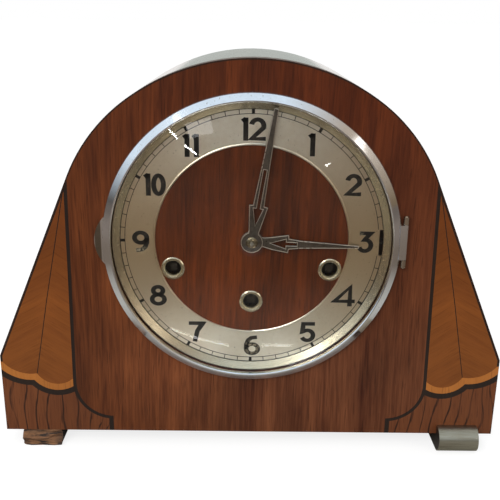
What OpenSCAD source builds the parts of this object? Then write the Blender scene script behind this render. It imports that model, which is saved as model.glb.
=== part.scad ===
// Mantel clock in an arched wooden case with straight, slanting sides. The front is
// veneered with a fan on each side, and a hinged glazed bezel closes the dial. Behind
// the dial sits a three-train movement that strikes and chimes on four gong rods.
// X runs to the viewer's right, Y from the front to the back and Z up. The origin is on
// the floor, under the middle of the whole clock.

/* [Case] */
// Width of the case at its lower sides
case_w = 300; // [290:1:320]
// Height of the whole clock, from the floor to the top of the arch
case_h = 234.6; // [230:0.2:245]
// Depth of the case from the veneered face to the back edge
case_d = 120; // [116:1:140]
// Height above the floor at which the upright lower sides turn into the slanting ones
side_z = 60.08; // [58:0.02:62]
// Radius of the top arc of the arch
arch_r = 118.85; // [116:0.05:122]
// Radius of the two shoulder arcs
shoulder_r = 101.05; // [99:0.05:103]
// Angle from the vertical at which the top arc meets a shoulder arc
arch_a = 36.1; // [30:0.1:40]
// Wood left between the bezel and the top of the arch
arch_margin = 17.55; // [15:0.05:20]
// Thickness of the arched side and top board
wall_t = 10; // [8:0.5:11]
// Thickness of the front board with its veneer
front_t = 12.8; // [11:0.1:14]
// Thickness of the veneer
veneer_t = 0.8; // [0.6:0.1:1.2]
// Thickness of the base board
base_t = 12; // [9:0.5:14]
// Thickness of the back board
back_t = 8; // [6:0.5:9]
// How far the back board is set in from the back edge
back_in = 2; // [1:0.5:3]

/* [Marquetry] */
// Width of the black stringing
string_w = 2; // [1.5:0.1:3]
// Distance of the stringing's inner edge, at its lower end, from the side of the case
fan_w = 44.8; // [43:0.1:47]
// Lean of the stringing towards the middle on its way up, in degrees
string_a = 0.8; // [0:0.1:1.5]
// Outer radius of the stringing's curve above the foot
curve_r = 24; // [20:0.5:26]
// Height at which that curve begins
curve_z = 42; // [40:0.5:44]
// Width of the light band under the leaves
band_w = 4.1; // [3.5:0.1:5]
// Width of the black line under the light band
line_w = 3.5; // [2.5:0.1:4]
// Width of the thin line between two leaves
leaf_line_w = 0.5; // [0.3:0.1:0.8]
// Width of the dark edging along the slanting edge
edge_w = 1.4; // [1:0.1:2]

/* [Feet] */
// Height of the feet under the case
foot_h = 10; // [8:0.5:12]
// Width of a foot
foot_w = 24; // [20:1:28]
// Distance of a foot's outer side from the side of the case
foot_in = 10; // [8:1:14]
// Radius of the rounded nose of the right foot
nose_r = 8; // [7:0.5:9]
// Distance of the nose's centre in front of the face
nose_y = 1.3; // [1:0.1:2]
// Thickness of the nose's metal cover
cover_t = 0.8; // [0.6:0.1:1]

/* [Bezel] */
// Outer radius of the bezel
bezel_r = 85.05; // [84:0.05:87]
// Width of the bezel's polished ring
bezel_w = 5.05; // [4:0.05:6]
// How far the bezel stands in front of the face
bezel_h = 5; // [4.5:0.1:5.6]
// Width of the narrow flat rim round the glass
rim_w = 0.9; // [0.6:0.1:1.5]
// How far the polished ring falls from that rim to its outer edge
bezel_fall = 2.6; // [1.8:0.1:2.8]
// Radius of the crescent that the bezel is pulled open by
tab_r = 20; // [16:0.5:26]
// How far the crescent stands out from the bezel's edge
tab_out = 4.4; // [3:0.1:6]
// Thickness of the glass
glass_t = 1.6; // [1.4:0.1:2]
// Rise of the domed glass over its edge
glass_rise = 4; // [3.8:0.1:4.2]
// Length of the bezel's hinge
hinge_l = 30; // [24:1:34]
// Outer radius of the hinge's knuckles
knuckle_r = 1.5; // [1.3:0.1:1.6]
// Radius of the hinge pins
pin_r = 0.7; // [0.5:0.1:0.8]
// Gap between surfaces that pass each other
gap = 0.3; // [0.2:0.05:0.4]
// Radial clearance of a running fit
fit = 0.05; // [0.03:0.01:0.08]

/* [Dial] */
// Inner radius of the silvered chapter ring
chapter_r = 55.5; // [54:0.5:57]
// Inner radius of the bevelled sight ring
sight_r = 75.7; // [75:0.1:76]
// Depth of the chapter ring's face behind the case's face
dial_y = 4; // [3.5:0.1:4.5]
// Outer radius of a winding hole's grommet
grommet_r = 6.8; // [6:0.1:7.5]
// Radius of a winding hole
wind_r = 5; // [4.5:0.1:5.2]
// Distance of the outer winding holes from the middle
wind_x = 45.6; // [44.6:0.2:46.6]
// Drop of the outer winding holes under the dial's centre
wind_drop = 16.8; // [16.4:0.2:17.4]
// Drop of the lower winding hole under the dial's centre
going_drop = 36.9; // [36.5:0.1:37.3]

/* [Hands] */
// Length of the minute hand
minute_l = 77.3; // [74:0.1:78]
// Length of the hour hand
hour_l = 61.5; // [58:0.1:64]
// Direction of the minute hand, in degrees clockwise from twelve
minute_a = 9.3; // [0:0.1:359]
// Direction of the hour hand, in degrees clockwise from twelve
hour_a = 92.1; // [0:0.1:359]
// Radius of a hand's hub
hub_r = 6.3; // [5.8:0.1:6.5]
// Thickness of a hand
hand_t = 1; // [0.8:0.1:1.2]

/* [Movement] */
// Half the width of the movement's plates
plate_x = 70; // [68:1:74]
// Distance of the plates' lower edge under the dial's centre
plate_drop = 66; // [65:1:68]
// Distance of the plates' upper edge over the dial's centre
plate_rise = 54; // [53:0.5:55]
// Thickness of a plate
plate_t = 2; // [1.5:0.1:2.2]
// Depth of the front plate's front face behind the case's face
plate_y = 22; // [22:0.5:23]
// Distance between the two plates
plate_gap = 38; // [38:0.5:40]
// Radius of a spring barrel
barrel_r = 20; // [18:0.5:20.5]
// Length of a spring barrel
barrel_l = 21; // [18:0.5:22]
// Radius of a winding arbor in its barrel
wind_arbor_r = 3; // [2.5:0.1:3.2]
// Width of a winding arbor's square
square_w = 4.2; // [3.5:0.1:4.4]
// Length of the pendulum from its pin to the bob's centre
pendulum_l = 98; // [90:1:100]
// Radius of the pendulum's bob
bob_r = 13; // [11:0.5:14]

/* [Chime] */
// Radius of a gong rod
gong_r = 1.5; // [1.2:0.1:1.8]
// Distance of the gong rods' centres under the dial's centre
gong_drop = 82; // [81:0.5:84]
// Room kept free in front of the back board
rear_margin = 4; // [3:0.5:5]
// Radius of the pin drum
drum_r = 9; // [8:0.5:9.5]
// How far the pins stand out of the pin drum
drum_pin = 1.5; // [1:0.1:1.7]

/* [Hidden] */
$fn = 96;

// Every piece's name, the front of the case first

// ---- Places of the case ----
half_w = case_w / 2;
arch_cz = case_h - arch_r;
shoulder_off = arch_r - shoulder_r;
shoulder_cx = shoulder_off * sin(arch_a);
shoulder_cz = arch_cz + shoulder_off * cos(arch_a);
shoulder_at = [shoulder_cx, shoulder_cz];
side_at = [half_w, side_z];
// Lean of the slanting sides from the vertical: each is a tangent to its shoulder arc
slant_a = dir(shoulder_at, side_at) + acos(shoulder_r / norm(side_at - shoulder_at));
dial_z = case_h - arch_margin - bezel_r;
string_x = half_w - fan_w;
foot_x = half_w - foot_in;
back_y1 = case_d - back_in;
back_y0 = back_y1 - back_t;
base_z = foot_h + base_t;
opening_r = bezel_r - bezel_w + 0.5;
knob_l = 8;
// The clock's deepest reach to the front and to the back, which the origin lies between
reach_front = nose_y + nose_r;
reach_back = case_d + knob_l;
shift_y = -(reach_back - reach_front) / 2;

// Where the slant meets the shoulder arc, on an outline drawn in by d
function slant_top(d) = [
    shoulder_cx + (shoulder_r - d) * cos(slant_a),
    shoulder_cz + (shoulder_r - d) * sin(slant_a)
];
// Where the slant meets the lower side
function slant_foot(d) =
    let (p = slant_top(d), x = half_w - d)
    [x, p[1] - (x - p[0]) / tan(slant_a)];

// ---- Places of the movement ----
in_y = plate_y + plate_t;
back_plate_y0 = in_y + plate_gap;
back_plate_y1 = back_plate_y0 + plate_t;
plate_z0 = dial_z - plate_drop;
plate_z1 = dial_z + plate_rise;
gong_z = dial_z - gong_drop;
// The room behind the plates is shared out in six spacings of the gong rods
gong_step = (back_y0 - back_plate_y1 - rear_margin) / 6;
going_at = [0, dial_z - going_drop];
strike_at = [-wind_x, dial_z - wind_drop];
chime_at = [wind_x, dial_z - wind_drop];
centre_at = [0, dial_z];

// Tooth counts and modules of the trains
great_n = 78;
great_m = 0.6;
second_pinion_n = 12;
second_n = 60;
centre_pinion_n = 12;
centre_n = 96;
centre_m = 0.4;
third_pinion_n = 8;
third_n = 90;
third_m = 0.36;
escape_pinion_n = 8;
escape_n = 42;
escape_r = 11;
cannon_n = 12;
cannon_m = 0.5;
minute_n = 36;
minute_pinion_n = 10;
hour_n = 40;
hour_m = cannon_m * (cannon_n + minute_n) / (minute_pinion_n + hour_n);
fly_pinion_n = 8;
drum_gear_n = 30;
drum_gear_m = 1;

// Distance between two meshing arbors
function mesh_d(a, b, m) = (a + b) * m / 2;
// A point at distance r and angle a from p
function polar(p, r, a) = [p[0] + r * cos(a), p[1] + r * sin(a)];
// The point at distance da from p and db from q, on the side given by s
function between(p, q, da, db, s) =
    let (
        d = norm(q - p),
        u = (q - p) / d,
        along = (da * da - db * db + d * d) / (2 * d),
        off = sqrt(da * da - along * along)
    )
    p + u * along + s * off * [u[1], -u[0]];
// The direction from p to q, in degrees
function dir(p, q) = atan2(q[1] - p[1], q[0] - p[0]);
// The turn that puts wheel b in mesh with wheel a, which is turned by ta, in direction d
function in_mesh(d, ta, na, nb) = d + 180 + ((d - ta) * na / 360 + 0.5) * 360 / nb;

great_d = mesh_d(great_n, second_pinion_n, great_m);
second_at = between(
    going_at, centre_at, great_d, mesh_d(second_n, centre_pinion_n, great_m), 1
);
escape_at = [0, dial_z + 31];
third_at = between(
    centre_at, escape_at, mesh_d(centre_n, third_pinion_n, centre_m),
    mesh_d(third_n, escape_pinion_n, third_m), -1
);
pallet_at = [0, escape_at[1] + escape_r * 1.18];
minute_at = polar(centre_at, mesh_d(cannon_n, minute_n, cannon_m), 135);
strike_wheel_at = polar(strike_at, great_d, 98);
chime_wheel_at = polar(chime_at, great_d, 82);
fly_d = mesh_d(second_n, fly_pinion_n, great_m);
strike_fly_at = polar(strike_wheel_at, fly_d, 75);
chime_fly_at = polar(chime_wheel_at, fly_d, 105);
drum_at = [chime_wheel_at[0], chime_wheel_at[1] - drum_gear_n * drum_gear_m];
hammer_at = [62, plate_z0 + 6];

// Depths of the wheels between the plates
great_y = in_y + 3;
second_y = in_y + 29;
centre_y = in_y + 33.5;
third_y = in_y + 20;
escape_y = in_y + 8;
wheel_t = 1.5;
great_t = 2;
arbor_r = 1.2;
pivot_r = 0.8;
bush_r = pivot_r + fit;

// Depths in front of the front plate
ratchet_y = plate_y - 3.2;
ratchet_t = 2;
ratchet_r = 8.5;
ratchet_n = 18;
hour_wheel_y = plate_y - 8;
minute_wheel_y = plate_y - 4;
centre_tip_r = 1;
cannon_r = 2.1;
hour_bore = cannon_r + fit;
hour_tube_r = 3.1;
dial_plate_t = 1;
dial_back_y = dial_y + 2 * dial_plate_t;
centre_disc_y = dial_y + 0.2;
minute_hand_y = 0.3;
hour_hand_y = 2;
square_y = dial_back_y + 2;

// Depths behind the back plate
drum_y = back_plate_y1 + 4;
drum_l = 3 * gong_step + 8;
row_y = drum_y + 4;
pendulum_y = back_plate_y1 + 7;
stud_end_y = drum_y + drum_l + 2;
hammer_rest_x = 30;
hammer_rest_z = gong_z + gong_r + 8;

// Colours
walnut = "#6b3a24";
walnut_dark = "#4f2c1c";
leaf_wood = "#8a5229";
light_wood = "#a86a2e";
black_wood = "#26201d";
raw_wood = "#9a6a42";
brass = "#b9974f";
steel = "#8f9296";
chrome = "#c5ccd4";
silvered = "#b3a994";
iron = "#3f4043";

// ---- Small tools ----
// Draws a flat outline in X and Z as a slab from depth y0 to depth y1
module slab(y0, y1) {
    translate([0, y1, 0]) rotate([90, 0, 0]) linear_extrude(y1 - y0) children();
}

// Turns an outline of radius and depth round an axis along Y at p
module turned(p) {
    translate([p[0], 0, p[1]]) rotate([-90, 0, 0]) rotate_extrude() children();
}

// A round bar along Y from depth y0 to depth y1
module bar(p, r, y0, y1) {
    translate([p[0], y0, p[1]]) rotate([-90, 0, 0]) cylinder(r = r, h = y1 - y0);
}

// A copy on the right side and its mirror image on the left
module both_sides() {
    children();
    mirror([1, 0, 0]) children();
}

// The case's front outline, drawn in by d, down to the height bottom
module outline(d = 0, bottom = foot_h) {
    wedge = 2 * arch_r;
    top = slant_top(d);
    foot = slant_foot(d);
    intersection() {
        translate([0, arch_cz]) circle(arch_r - d);
        polygon([
            [0, arch_cz],
            [-wedge * sin(arch_a), arch_cz + wedge * cos(arch_a)],
            [wedge * sin(arch_a), arch_cz + wedge * cos(arch_a)]
        ]);
    }
    // The shoulder arcs stand proud by a hair, and so cross the arc and the slant cleanly
    intersection() {
        for (s = [-1, 1]) translate([s * shoulder_cx, shoulder_cz])
            circle(shoulder_r + 0.01 - d);
        translate([-case_w, bottom]) square([2 * case_w, case_h]);
    }
    polygon([
        [-foot[0], bottom], [foot[0], bottom], foot, top, [-top[0], top[1]],
        [-foot[0], foot[1]]
    ]);
}

// ---- Case ----
module case_wrap() {
    color(walnut_dark) slab(front_t, case_d) difference() {
        outline();
        outline(wall_t, foot_h - 1);
    }
}

module front_board() {
    color(raw_wood) difference() {
        slab(veneer_t, front_t) outline();
        bar(centre_at, opening_r, 0, front_t + 1);
    }
}

module base_board() {
    color(raw_wood) translate([-half_w + wall_t, front_t, foot_h])
        cube([case_w - 2 * wall_t, back_y0 - front_t, base_t]);
}

door_x = 84;
door_z0 = base_z + 12;
door_z1 = dial_z + 56;
door_r = 40;
module door_outline(d) {
    translate([-door_x + d, door_z0 + d])
        square([2 * (door_x - d), door_z1 - door_z0 - door_r - d]);
    for (s = [-1, 1]) translate([s * (door_x - door_r), door_z1 - door_r])
        circle(door_r - d);
    translate([-door_x + door_r, door_z1 - door_r - 1])
        square([2 * (door_x - door_r), door_r + 1 - d]);
}

module back_board() {
    color(walnut_dark) difference() {
        slab(back_y0, back_y1) outline(wall_t);
        slab(back_y0 - 1, back_y1 + 1) door_outline(0);
    }
}

// ---- Marquetry, all flush with the front board's face ----
// Distance of the stringing's inner edge from the middle at height z
function string_in(z) = string_x - (z - curve_z) * tan(string_a);
curve_cx = string_x + string_w - curve_r;
curve_bottom = curve_z - curve_r;
stub_x1 = curve_cx + 3.2;
stub_x0 = curve_cx + 0.5;

// The middle panel inside the stringing, grown by d
module centre_panel(d) {
    far = case_h;
    intersection() {
        outline();
        union() {
            polygon([
                [-string_in(far) - d, far], [string_in(far) + d, far],
                [string_in(curve_z) + d, curve_z], [-string_in(curve_z) - d, curve_z]
            ]);
            for (s = [-1, 1]) intersection() {
                translate([s * curve_cx, curve_z])
                    circle(curve_r - string_w + d);
                translate([s > 0 ? 0 : -half_w, 0]) square([half_w, curve_z]);
            }
            translate([-curve_cx, curve_bottom + string_w - d])
                square([2 * curve_cx, curve_z - curve_bottom - string_w + d]);
            translate([-stub_x0 - (d > 0 ? stub_x1 - stub_x0 : 0), foot_h])
                square([
                    2 * (stub_x0 + (d > 0 ? stub_x1 - stub_x0 : 0)),
                    curve_z - curve_bottom
                ]);
        }
    }
}

// Everything outside the stringing on the right side
module side_panel() {
    difference() {
        outline();
        centre_panel(string_w);
        translate([-case_w, 0]) square([case_w, 2 * case_h]);
    }
}

// The two lobes of the fan on the right side, grown by d
lobe_in = [string_x + 11.4, 55.4];
lobe_in_r = 13.9;
lobe_out = [string_x + 27.1, 69.6];
lobe_out_r = 21.5;
module lobes(d) {
    translate(lobe_in) circle(lobe_in_r + d);
    translate(lobe_out) circle(lobe_out_r + d);
    polygon([
        [lobe_in[0] - lobe_in_r, lobe_in[1]], lobe_in, lobe_out,
        [half_w + lobe_out_r, lobe_out[1]], [half_w + lobe_out_r, case_h],
        [lobe_in[0] - lobe_in_r, case_h]
    ]);
}

// The line between the two leaves, from the top of the fan to the lobes' cusp
leaf_line = [[104.2, 170], [109, 147], [119.7, 95], [128.8, 47]];
module leaf_line_shape() {
    w = leaf_line_w / 2;
    polygon(concat(
        [for (p = leaf_line) p - [w, 0]],
        [for (i = [len(leaf_line) - 1:-1:0]) leaf_line[i] + [w, 0]]
    ));
}

// The dark edging along the slant
module edging_shape() {
    difference() {
        outline();
        outline(edge_w);
        translate([0, 0]) square([case_w, slant_foot(0)[1] - band_w]);
        translate([-case_w, 0]) square([case_w + string_x, 2 * case_h]);
    }
}

module centre_veneer() {
    color(walnut) slab(0, veneer_t) difference() {
        centre_panel(0);
        translate(centre_at) circle(opening_r);
    }
}

module fan_leaves() {
    color(leaf_wood) both_sides() slab(0, veneer_t) difference() {
        intersection() {
            side_panel();
            lobes(0);
        }
        leaf_line_shape();
        edging_shape();
    }
}

module scallop_bands() {
    color(light_wood) both_sides() slab(0, veneer_t) difference() {
        intersection() {
            side_panel();
            lobes(band_w);
        }
        lobes(0);
        edging_shape();
    }
}

// The black strip between the middle panel and the side, on the right
module string_strip() {
    top = case_h;
    intersection() {
        outline();
        polygon([
            [string_in(curve_z), curve_z], [string_in(curve_z) + string_w, curve_z],
            [string_in(top) + string_w, top], [string_in(top), top]
        ]);
    }
    intersection() {
        translate([curve_cx, curve_z]) difference() {
            circle(curve_r);
            circle(curve_r - string_w);
        }
        translate([stub_x0, 0]) square([case_w, curve_z]);
    }
    translate([stub_x0, foot_h])
        square([stub_x1 - stub_x0, curve_bottom + string_w / 2 - foot_h]);
}

// The black line under the light band, on the right
module scallop_line() {
    difference() {
        intersection() {
            side_panel();
            lobes(band_w + line_w);
        }
        lobes(band_w);
        edging_shape();
    }
}

module stringing() {
    color(black_wood) both_sides() {
        slab(0, veneer_t) string_strip();
        slab(0, veneer_t) scallop_line();
        slab(0, veneer_t) edging_shape();
        slab(0, veneer_t) intersection() {
            leaf_line_shape();
            side_panel();
            lobes(0);
            outline(edge_w);
        }
    }
}

module corner_veneers() {
    color(walnut) both_sides() slab(0, veneer_t) difference() {
        side_panel();
        lobes(band_w + line_w);
        edging_shape();
    }
}

// ---- Feet ----
// A runner under the case, with its front end at depth y0
module runner(side, y0) {
    x0 = side > 0 ? foot_x - foot_w : -foot_x;
    translate([x0, y0, 0]) cube([foot_w, back_y1 - y0, foot_h]);
}

// The rounded end of a foot in front of the face, of radius r, w wide
module nose(r, w, y1 = 0) {
    translate([foot_x - foot_w / 2 - w / 2, 0, 0]) intersection() {
        translate([0, -nose_y, nose_r]) rotate([0, 90, 0]) cylinder(r = r, h = w);
        translate([-1, -2 * nose_r, 0]) cube([w + 2, 2 * nose_r + y1, 2 * nose_r]);
    }
}

module foot_right() {
    color(black_wood) {
        runner(1, 0);
        nose(nose_r - cover_t, foot_w);
    }
}

// The left foot has lost its nose: its front end is broken wood, chipped at the edges
chip = 1.6;
module foot_left() {
    color(raw_wood) difference() {
        runner(-1, 0);
        translate([-foot_x - 1, 0, foot_h]) rotate([0, 90, 0])
            rotate([0, 0, 45]) cube([chip, chip, foot_w / 2], center = false);
        translate([-foot_x + 15, -1, -1]) rotate([0, 0, -8])
            cube([foot_w, 1.4, foot_h / 2]);
    }
}

module foot_cover() {
    color(steel) difference() {
        nose(nose_r, foot_w);
        nose(nose_r - cover_t, foot_w + 2, 1);
    }
}

// ---- Rear door ----
door_gap = 0.6;
butt_z = [door_z0 + 24, door_z1 - door_r - 12];
butt_l = 18;
butt_r = 2;
butt_y = back_y1 + butt_r + gap;
butt_x = -door_x - door_gap / 2;
module butt_barrel(z0, z1) {
    translate([butt_x, butt_y, z0]) cylinder(r = butt_r, h = z1 - z0);
}

module rear_door() {
    color(walnut_dark) slab(back_y0, back_y1) door_outline(door_gap);
    color(brass) for (z = butt_z) difference() {
        union() {
            butt_barrel(z - butt_l / 6, z + butt_l / 6);
            translate([butt_x, back_y1, z - butt_l / 6])
                cube([9, 0.9, butt_l / 3]);
        }
        translate([butt_x, butt_y, z - butt_l]) cylinder(r = pin_r + fit, h = 2 * butt_l);
    }
}

module rear_door_hinge() {
    color(brass) for (z = butt_z) {
        difference() {
            for (s = [-1, 1]) {
                z0 = s < 0 ? z - butt_l / 2 : z + butt_l / 6 + gap;
                butt_barrel(z0, z0 + butt_l / 3 - gap);
                translate([butt_x - 9, back_y1, z0])
                    cube([9, 0.9, butt_l / 3 - gap]);
            }
            translate([butt_x, butt_y, z - butt_l])
                cylinder(r = pin_r, h = 2 * butt_l);
        }
        translate([butt_x, butt_y, z - butt_l / 2 - 1]) cylinder(r = pin_r, h = butt_l + 2);
    }
}

knob_at = [door_x - 14, (door_z0 + door_z1) / 2];
module rear_door_knob() {
    color(brass) turned(knob_at) polygon([
        [0, back_y1], [4, back_y1], [4, back_y1 + 1], [2.5, back_y1 + 3],
        [5, back_y1 + 6], [5, reach_back - 1], [4, reach_back], [0, reach_back]
    ]);
}

// ---- Bezel door ----
bezel_in = bezel_r - bezel_w;
rebate_r = bezel_in + 1.6;
hinge_x = bezel_r + 1.95;
hinge_y = -knuckle_r - 0.2;
hinge_z = dial_z + 2;
knuckle_l = 4.5;
glass_y = -gap - glass_t;
glass_ball = (pow(rebate_r, 2) + pow(glass_rise, 2)) / (2 * glass_rise);

module bezel_section() {
    difference() {
        polygon([
            [bezel_in, -gap], [bezel_in, -bezel_h + 0.5],
            [bezel_in + 0.4, -bezel_h], [bezel_in + rim_w, -bezel_h],
            [bezel_r - 0.4, -bezel_h + bezel_fall],
            [bezel_r, -bezel_h + bezel_fall + 0.6], [bezel_r, -gap]
        ]);
        translate([bezel_in - 1, glass_y - 0.2])
            square([rebate_r - bezel_in + 1, bezel_h]);
    }
}

module bezel_ring() {
    color(chrome) {
        difference() {
            union() {
                turned(centre_at) bezel_section();
                // The pull tab on the left, a crescent
                slab(-2, -gap) difference() {
                    translate([tab_r - tab_out - bezel_r, dial_z + 1]) circle(tab_r);
                    translate(centre_at) circle(bezel_r - 1);
                }
                // The long middle knuckle and its arm
                translate([hinge_x, hinge_y, hinge_z - hinge_l / 2 + knuckle_l + gap])
                    cylinder(r = knuckle_r, h = hinge_l - 2 * (knuckle_l + gap));
                translate([
                    bezel_r - 1.2, hinge_y - knuckle_r,
                    hinge_z - hinge_l / 2 + knuckle_l + gap
                ])
                    cube([hinge_x - bezel_r + 1.2, 1, hinge_l - 2 * (knuckle_l + gap)]);
            }
            translate([hinge_x, hinge_y, hinge_z - hinge_l])
                cylinder(r = pin_r + fit, h = 2 * hinge_l);
        }
    }
}

module door_glass() {
    color("#cfe0e6", 0.35) turned(centre_at)
        translate([0, glass_y + glass_ball - glass_rise]) intersection() {
            difference() {
                circle(glass_ball);
                circle(glass_ball - glass_t);
            }
            translate([0, -2 * glass_ball]) square([rebate_r, 2 * glass_ball]);
        }
}

module bezel_hinge() {
    color(chrome) {
        difference() {
            for (s = [-1, 1]) {
                z0 = hinge_z + (s < 0 ? -hinge_l / 2 : hinge_l / 2 - knuckle_l);
                translate([hinge_x, hinge_y, z0]) cylinder(r = knuckle_r, h = knuckle_l);
                translate([hinge_x - 1, hinge_y, z0]) cube([2, -hinge_y, knuckle_l]);
            }
            translate([hinge_x, hinge_y, hinge_z - hinge_l])
                cylinder(r = pin_r, h = 2 * hinge_l);
        }
        translate([hinge_x, hinge_y, hinge_z - hinge_l / 2 - 0.6])
            cylinder(r = pin_r, h = hinge_l + 1.2);
        // The leaf on the face
        translate([hinge_x - 1.4, -0.15, hinge_z - hinge_l / 2])
            cube([2.9, 0.15, hinge_l]);
    }
}

// ---- Dial ----
sight_out = opening_r - 0.8;
module sight_ring() {
    color(silvered) turned(centre_at) polygon([
        [sight_r, dial_y], [sight_r, dial_y - 0.5], [sight_out - 0.7, 0.2],
        [sight_out, 0.2], [sight_out, dial_y]
    ]);
}

wind_holes = [strike_at, going_at, chime_at];
slot_r0 = 73.3;
slot_r1 = 76.5;
slot_half = 7.8;
module dial_slot(y0, y1) {
    translate([slot_r0, y0, dial_z - slot_half]) cube([slot_r1 - slot_r0, y1 - y0, 2 * slot_half]);
}

dial_feet = [[-36, 40], [36, 40], [0, -62]];
foot_post_r = 2;
module dial_plate() {
    color(steel) {
        difference() {
            bar(centre_at, sight_out, dial_y + dial_plate_t, dial_back_y);
            bar(centre_at, 5, 0, plate_y);
            for (p = wind_holes) bar(p, wind_r, 0, plate_y);
            dial_slot(0, plate_y);
        }
        for (p = dial_feet) bar(centre_at + p, foot_post_r, dial_back_y, plate_y);
    }
}

module chapter_ring() {
    bead = 0.65;
    color(silvered) difference() {
        turned(centre_at) {
            translate([chapter_r, dial_y])
                square([sight_out - chapter_r, dial_plate_t]);
            intersection() {
                translate([chapter_r + bead, dial_y]) circle(bead);
                translate([chapter_r, dial_y - bead]) square([2 * bead, bead]);
            }
        }
        dial_slot(0, plate_y);
    }
}

module dial_centre() {
    color(walnut) difference() {
        bar(centre_at, chapter_r, centre_disc_y, dial_y + dial_plate_t);
        bar(centre_at, 4.5, 0, plate_y);
        for (p = wind_holes) bar(p, wind_r, 0, plate_y);
    }
}

module grommets() {
    color(silvered) for (p = wind_holes) turned(p) polygon([
        [wind_r, centre_disc_y], [grommet_r, centre_disc_y],
        [grommet_r, centre_disc_y - 0.4], [grommet_r - 0.6, centre_disc_y - 0.9],
        [wind_r + 0.5, centre_disc_y - 0.9], [wind_r, centre_disc_y - 0.3]
    ]);
}

// ---- Hands ----
// An open arrow-shaped hand, pointing up from its hub: an open triangle, then an open
// slot of length slot_l, then a taper to the tip
module hand_shape(l, barb_r, barb_w, slot_end, slot_w, shank_w, tip_w, bore) {
    difference() {
        union() {
            circle(hub_r);
            polygon([
                [-3, 0], [-3, hub_r + 0.6], [-barb_w, barb_r],
                [-shank_w / 2 - 0.9, barb_r + 0.4], [-shank_w / 2, slot_end + 2],
                [-tip_w / 2, l], [tip_w / 2, l], [shank_w / 2, slot_end + 2],
                [shank_w / 2 + 0.9, barb_r + 0.4], [barb_w, barb_r],
                [3, hub_r + 0.6], [3, 0]
            ]);
        }
        circle(bore);
        polygon([[0, hub_r + 4.2], [-2.3, barb_r - 1.5], [2.3, barb_r - 1.5]]);
        translate([-slot_w / 2, barb_r + 1.5]) square([slot_w, slot_end - barb_r - 1.5]);
    }
}

module minute_hand() {
    color(iron) translate([0, minute_hand_y + hand_t, dial_z]) rotate([90, 0, 0])
        linear_extrude(hand_t) rotate(-minute_a)
            hand_shape(minute_l, 22, 5.4, 43, 1.3, 3.6, 1, cannon_r - 0.5);
}

module hour_hand() {
    color(iron) translate([0, hour_hand_y + hand_t, dial_z]) rotate([90, 0, 0])
        linear_extrude(hand_t) rotate(-hour_a)
            hand_shape(hour_l, 22, 5.4, 29, 1.6, 3.6, 0.8, hour_tube_r - 0.3);
}

module hand_nut() {
    color(brass) turned(centre_at) polygon([
        [centre_tip_r, minute_hand_y], [3.3, minute_hand_y],
        [3.3, minute_hand_y - 0.9], [2.6, minute_hand_y - 1.6],
        [centre_tip_r, minute_hand_y - 1.6]
    ]);
}

// ---- The chime and silent lever behind its slot ----
lever_at = [54, dial_z];
lever_tip = slot_r0 + 1.3;
lever_pin_r = 0.9;
lever_y = dial_back_y + 2.5;
module silence_lever() {
    color(steel) difference() {
        union() {
            slab(lever_y, lever_y + 1.2) difference() {
                union() {
                    translate(lever_at) circle(3.2);
                    translate([lever_at[0], dial_z - 1.4])
                        square([lever_tip - lever_at[0], 2.8]);
                    translate([lever_tip, dial_z]) circle(1.4);
                }
                translate(lever_at) circle(1.5 + fit);
            }
            bar([lever_tip, dial_z], lever_pin_r, dial_y - 0.6, lever_y);
        }
    }
}

// ---- Wheels ----
// Outline of n teeth of module m, turned by t: share is the tooth's part of the pitch
module teeth(n, m, t, share, lift = 1, depth = 1.3) {
    r = n * m / 2;
    p = 360 / n;
    root = p * share * 0.62;
    tip = p * share * 0.24;
    polygon([for (i = [0:n - 1]) each let (a = t + i * p) [
        polar([0, 0], r - depth * m, a - root),
        polar([0, 0], r, a - p * share / 2),
        polar([0, 0], r + lift * m, a - tip),
        polar([0, 0], r + lift * m, a + tip),
        polar([0, 0], r, a + p * share / 2),
        polar([0, 0], r - depth * m, a + root)
    ]]);
}

// A wheel with five spokes on an arbor of radius hub at p, from depth y0
module wheel(p, n, m, t, y0, th = wheel_t, hub = arbor_r, bore = 0) {
    r = n * m / 2;
    rim = r - 2.4 * m - 0.8;
    inner = hub + 1.6;
    slab(y0, y0 + th) translate(p) difference() {
        teeth(n, m, t, 0.42);
        if (rim - inner > 2.5) difference() {
            circle(rim);
            circle(inner);
            for (i = [0:4]) rotate(72 * i + 18) translate([0, -0.7])
                square([r, 1.4]);
        }
        if (bore > 0) circle(bore);
    }
}

// A pinion of n leaves
module pinion(p, n, m, t, y0, y1, bore = 0) {
    slab(y0, y1) translate(p) difference() {
        teeth(n, m, t, 0.36, 0.9, 1.25);
        if (bore > 0) circle(bore);
    }
}

// An arbor between the plates, with a pivot in each
module arbor(p, y0 = in_y + gap, y1 = back_plate_y0 - gap) {
    bar(p, arbor_r, y0, y1);
    bar(p, pivot_r, in_y - plate_t, back_plate_y1);
}

// ---- Turns that put the wheels in mesh ----
going_turn = 0;
second_turn = in_mesh(dir(going_at, second_at), going_turn, great_n, second_pinion_n);
centre_turn = in_mesh(dir(second_at, centre_at), 0, second_n, centre_pinion_n);
third_turn = in_mesh(dir(centre_at, third_at), 0, centre_n, third_pinion_n);
escape_turn = in_mesh(dir(third_at, escape_at), 0, third_n, escape_pinion_n);
minute_turn = in_mesh(dir(centre_at, minute_at), 0, cannon_n, minute_n);
hour_turn = in_mesh(dir(minute_at, centre_at), 0, minute_pinion_n, hour_n);
strike_turn = in_mesh(98, 0, great_n, second_pinion_n);
strike_fly_turn = in_mesh(75, 0, second_n, fly_pinion_n);
chime_turn = in_mesh(82, 0, great_n, second_pinion_n);
chime_fly_turn = in_mesh(105, 0, second_n, fly_pinion_n);
drum_turn = in_mesh(-90, 0, drum_gear_n, drum_gear_n);

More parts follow.
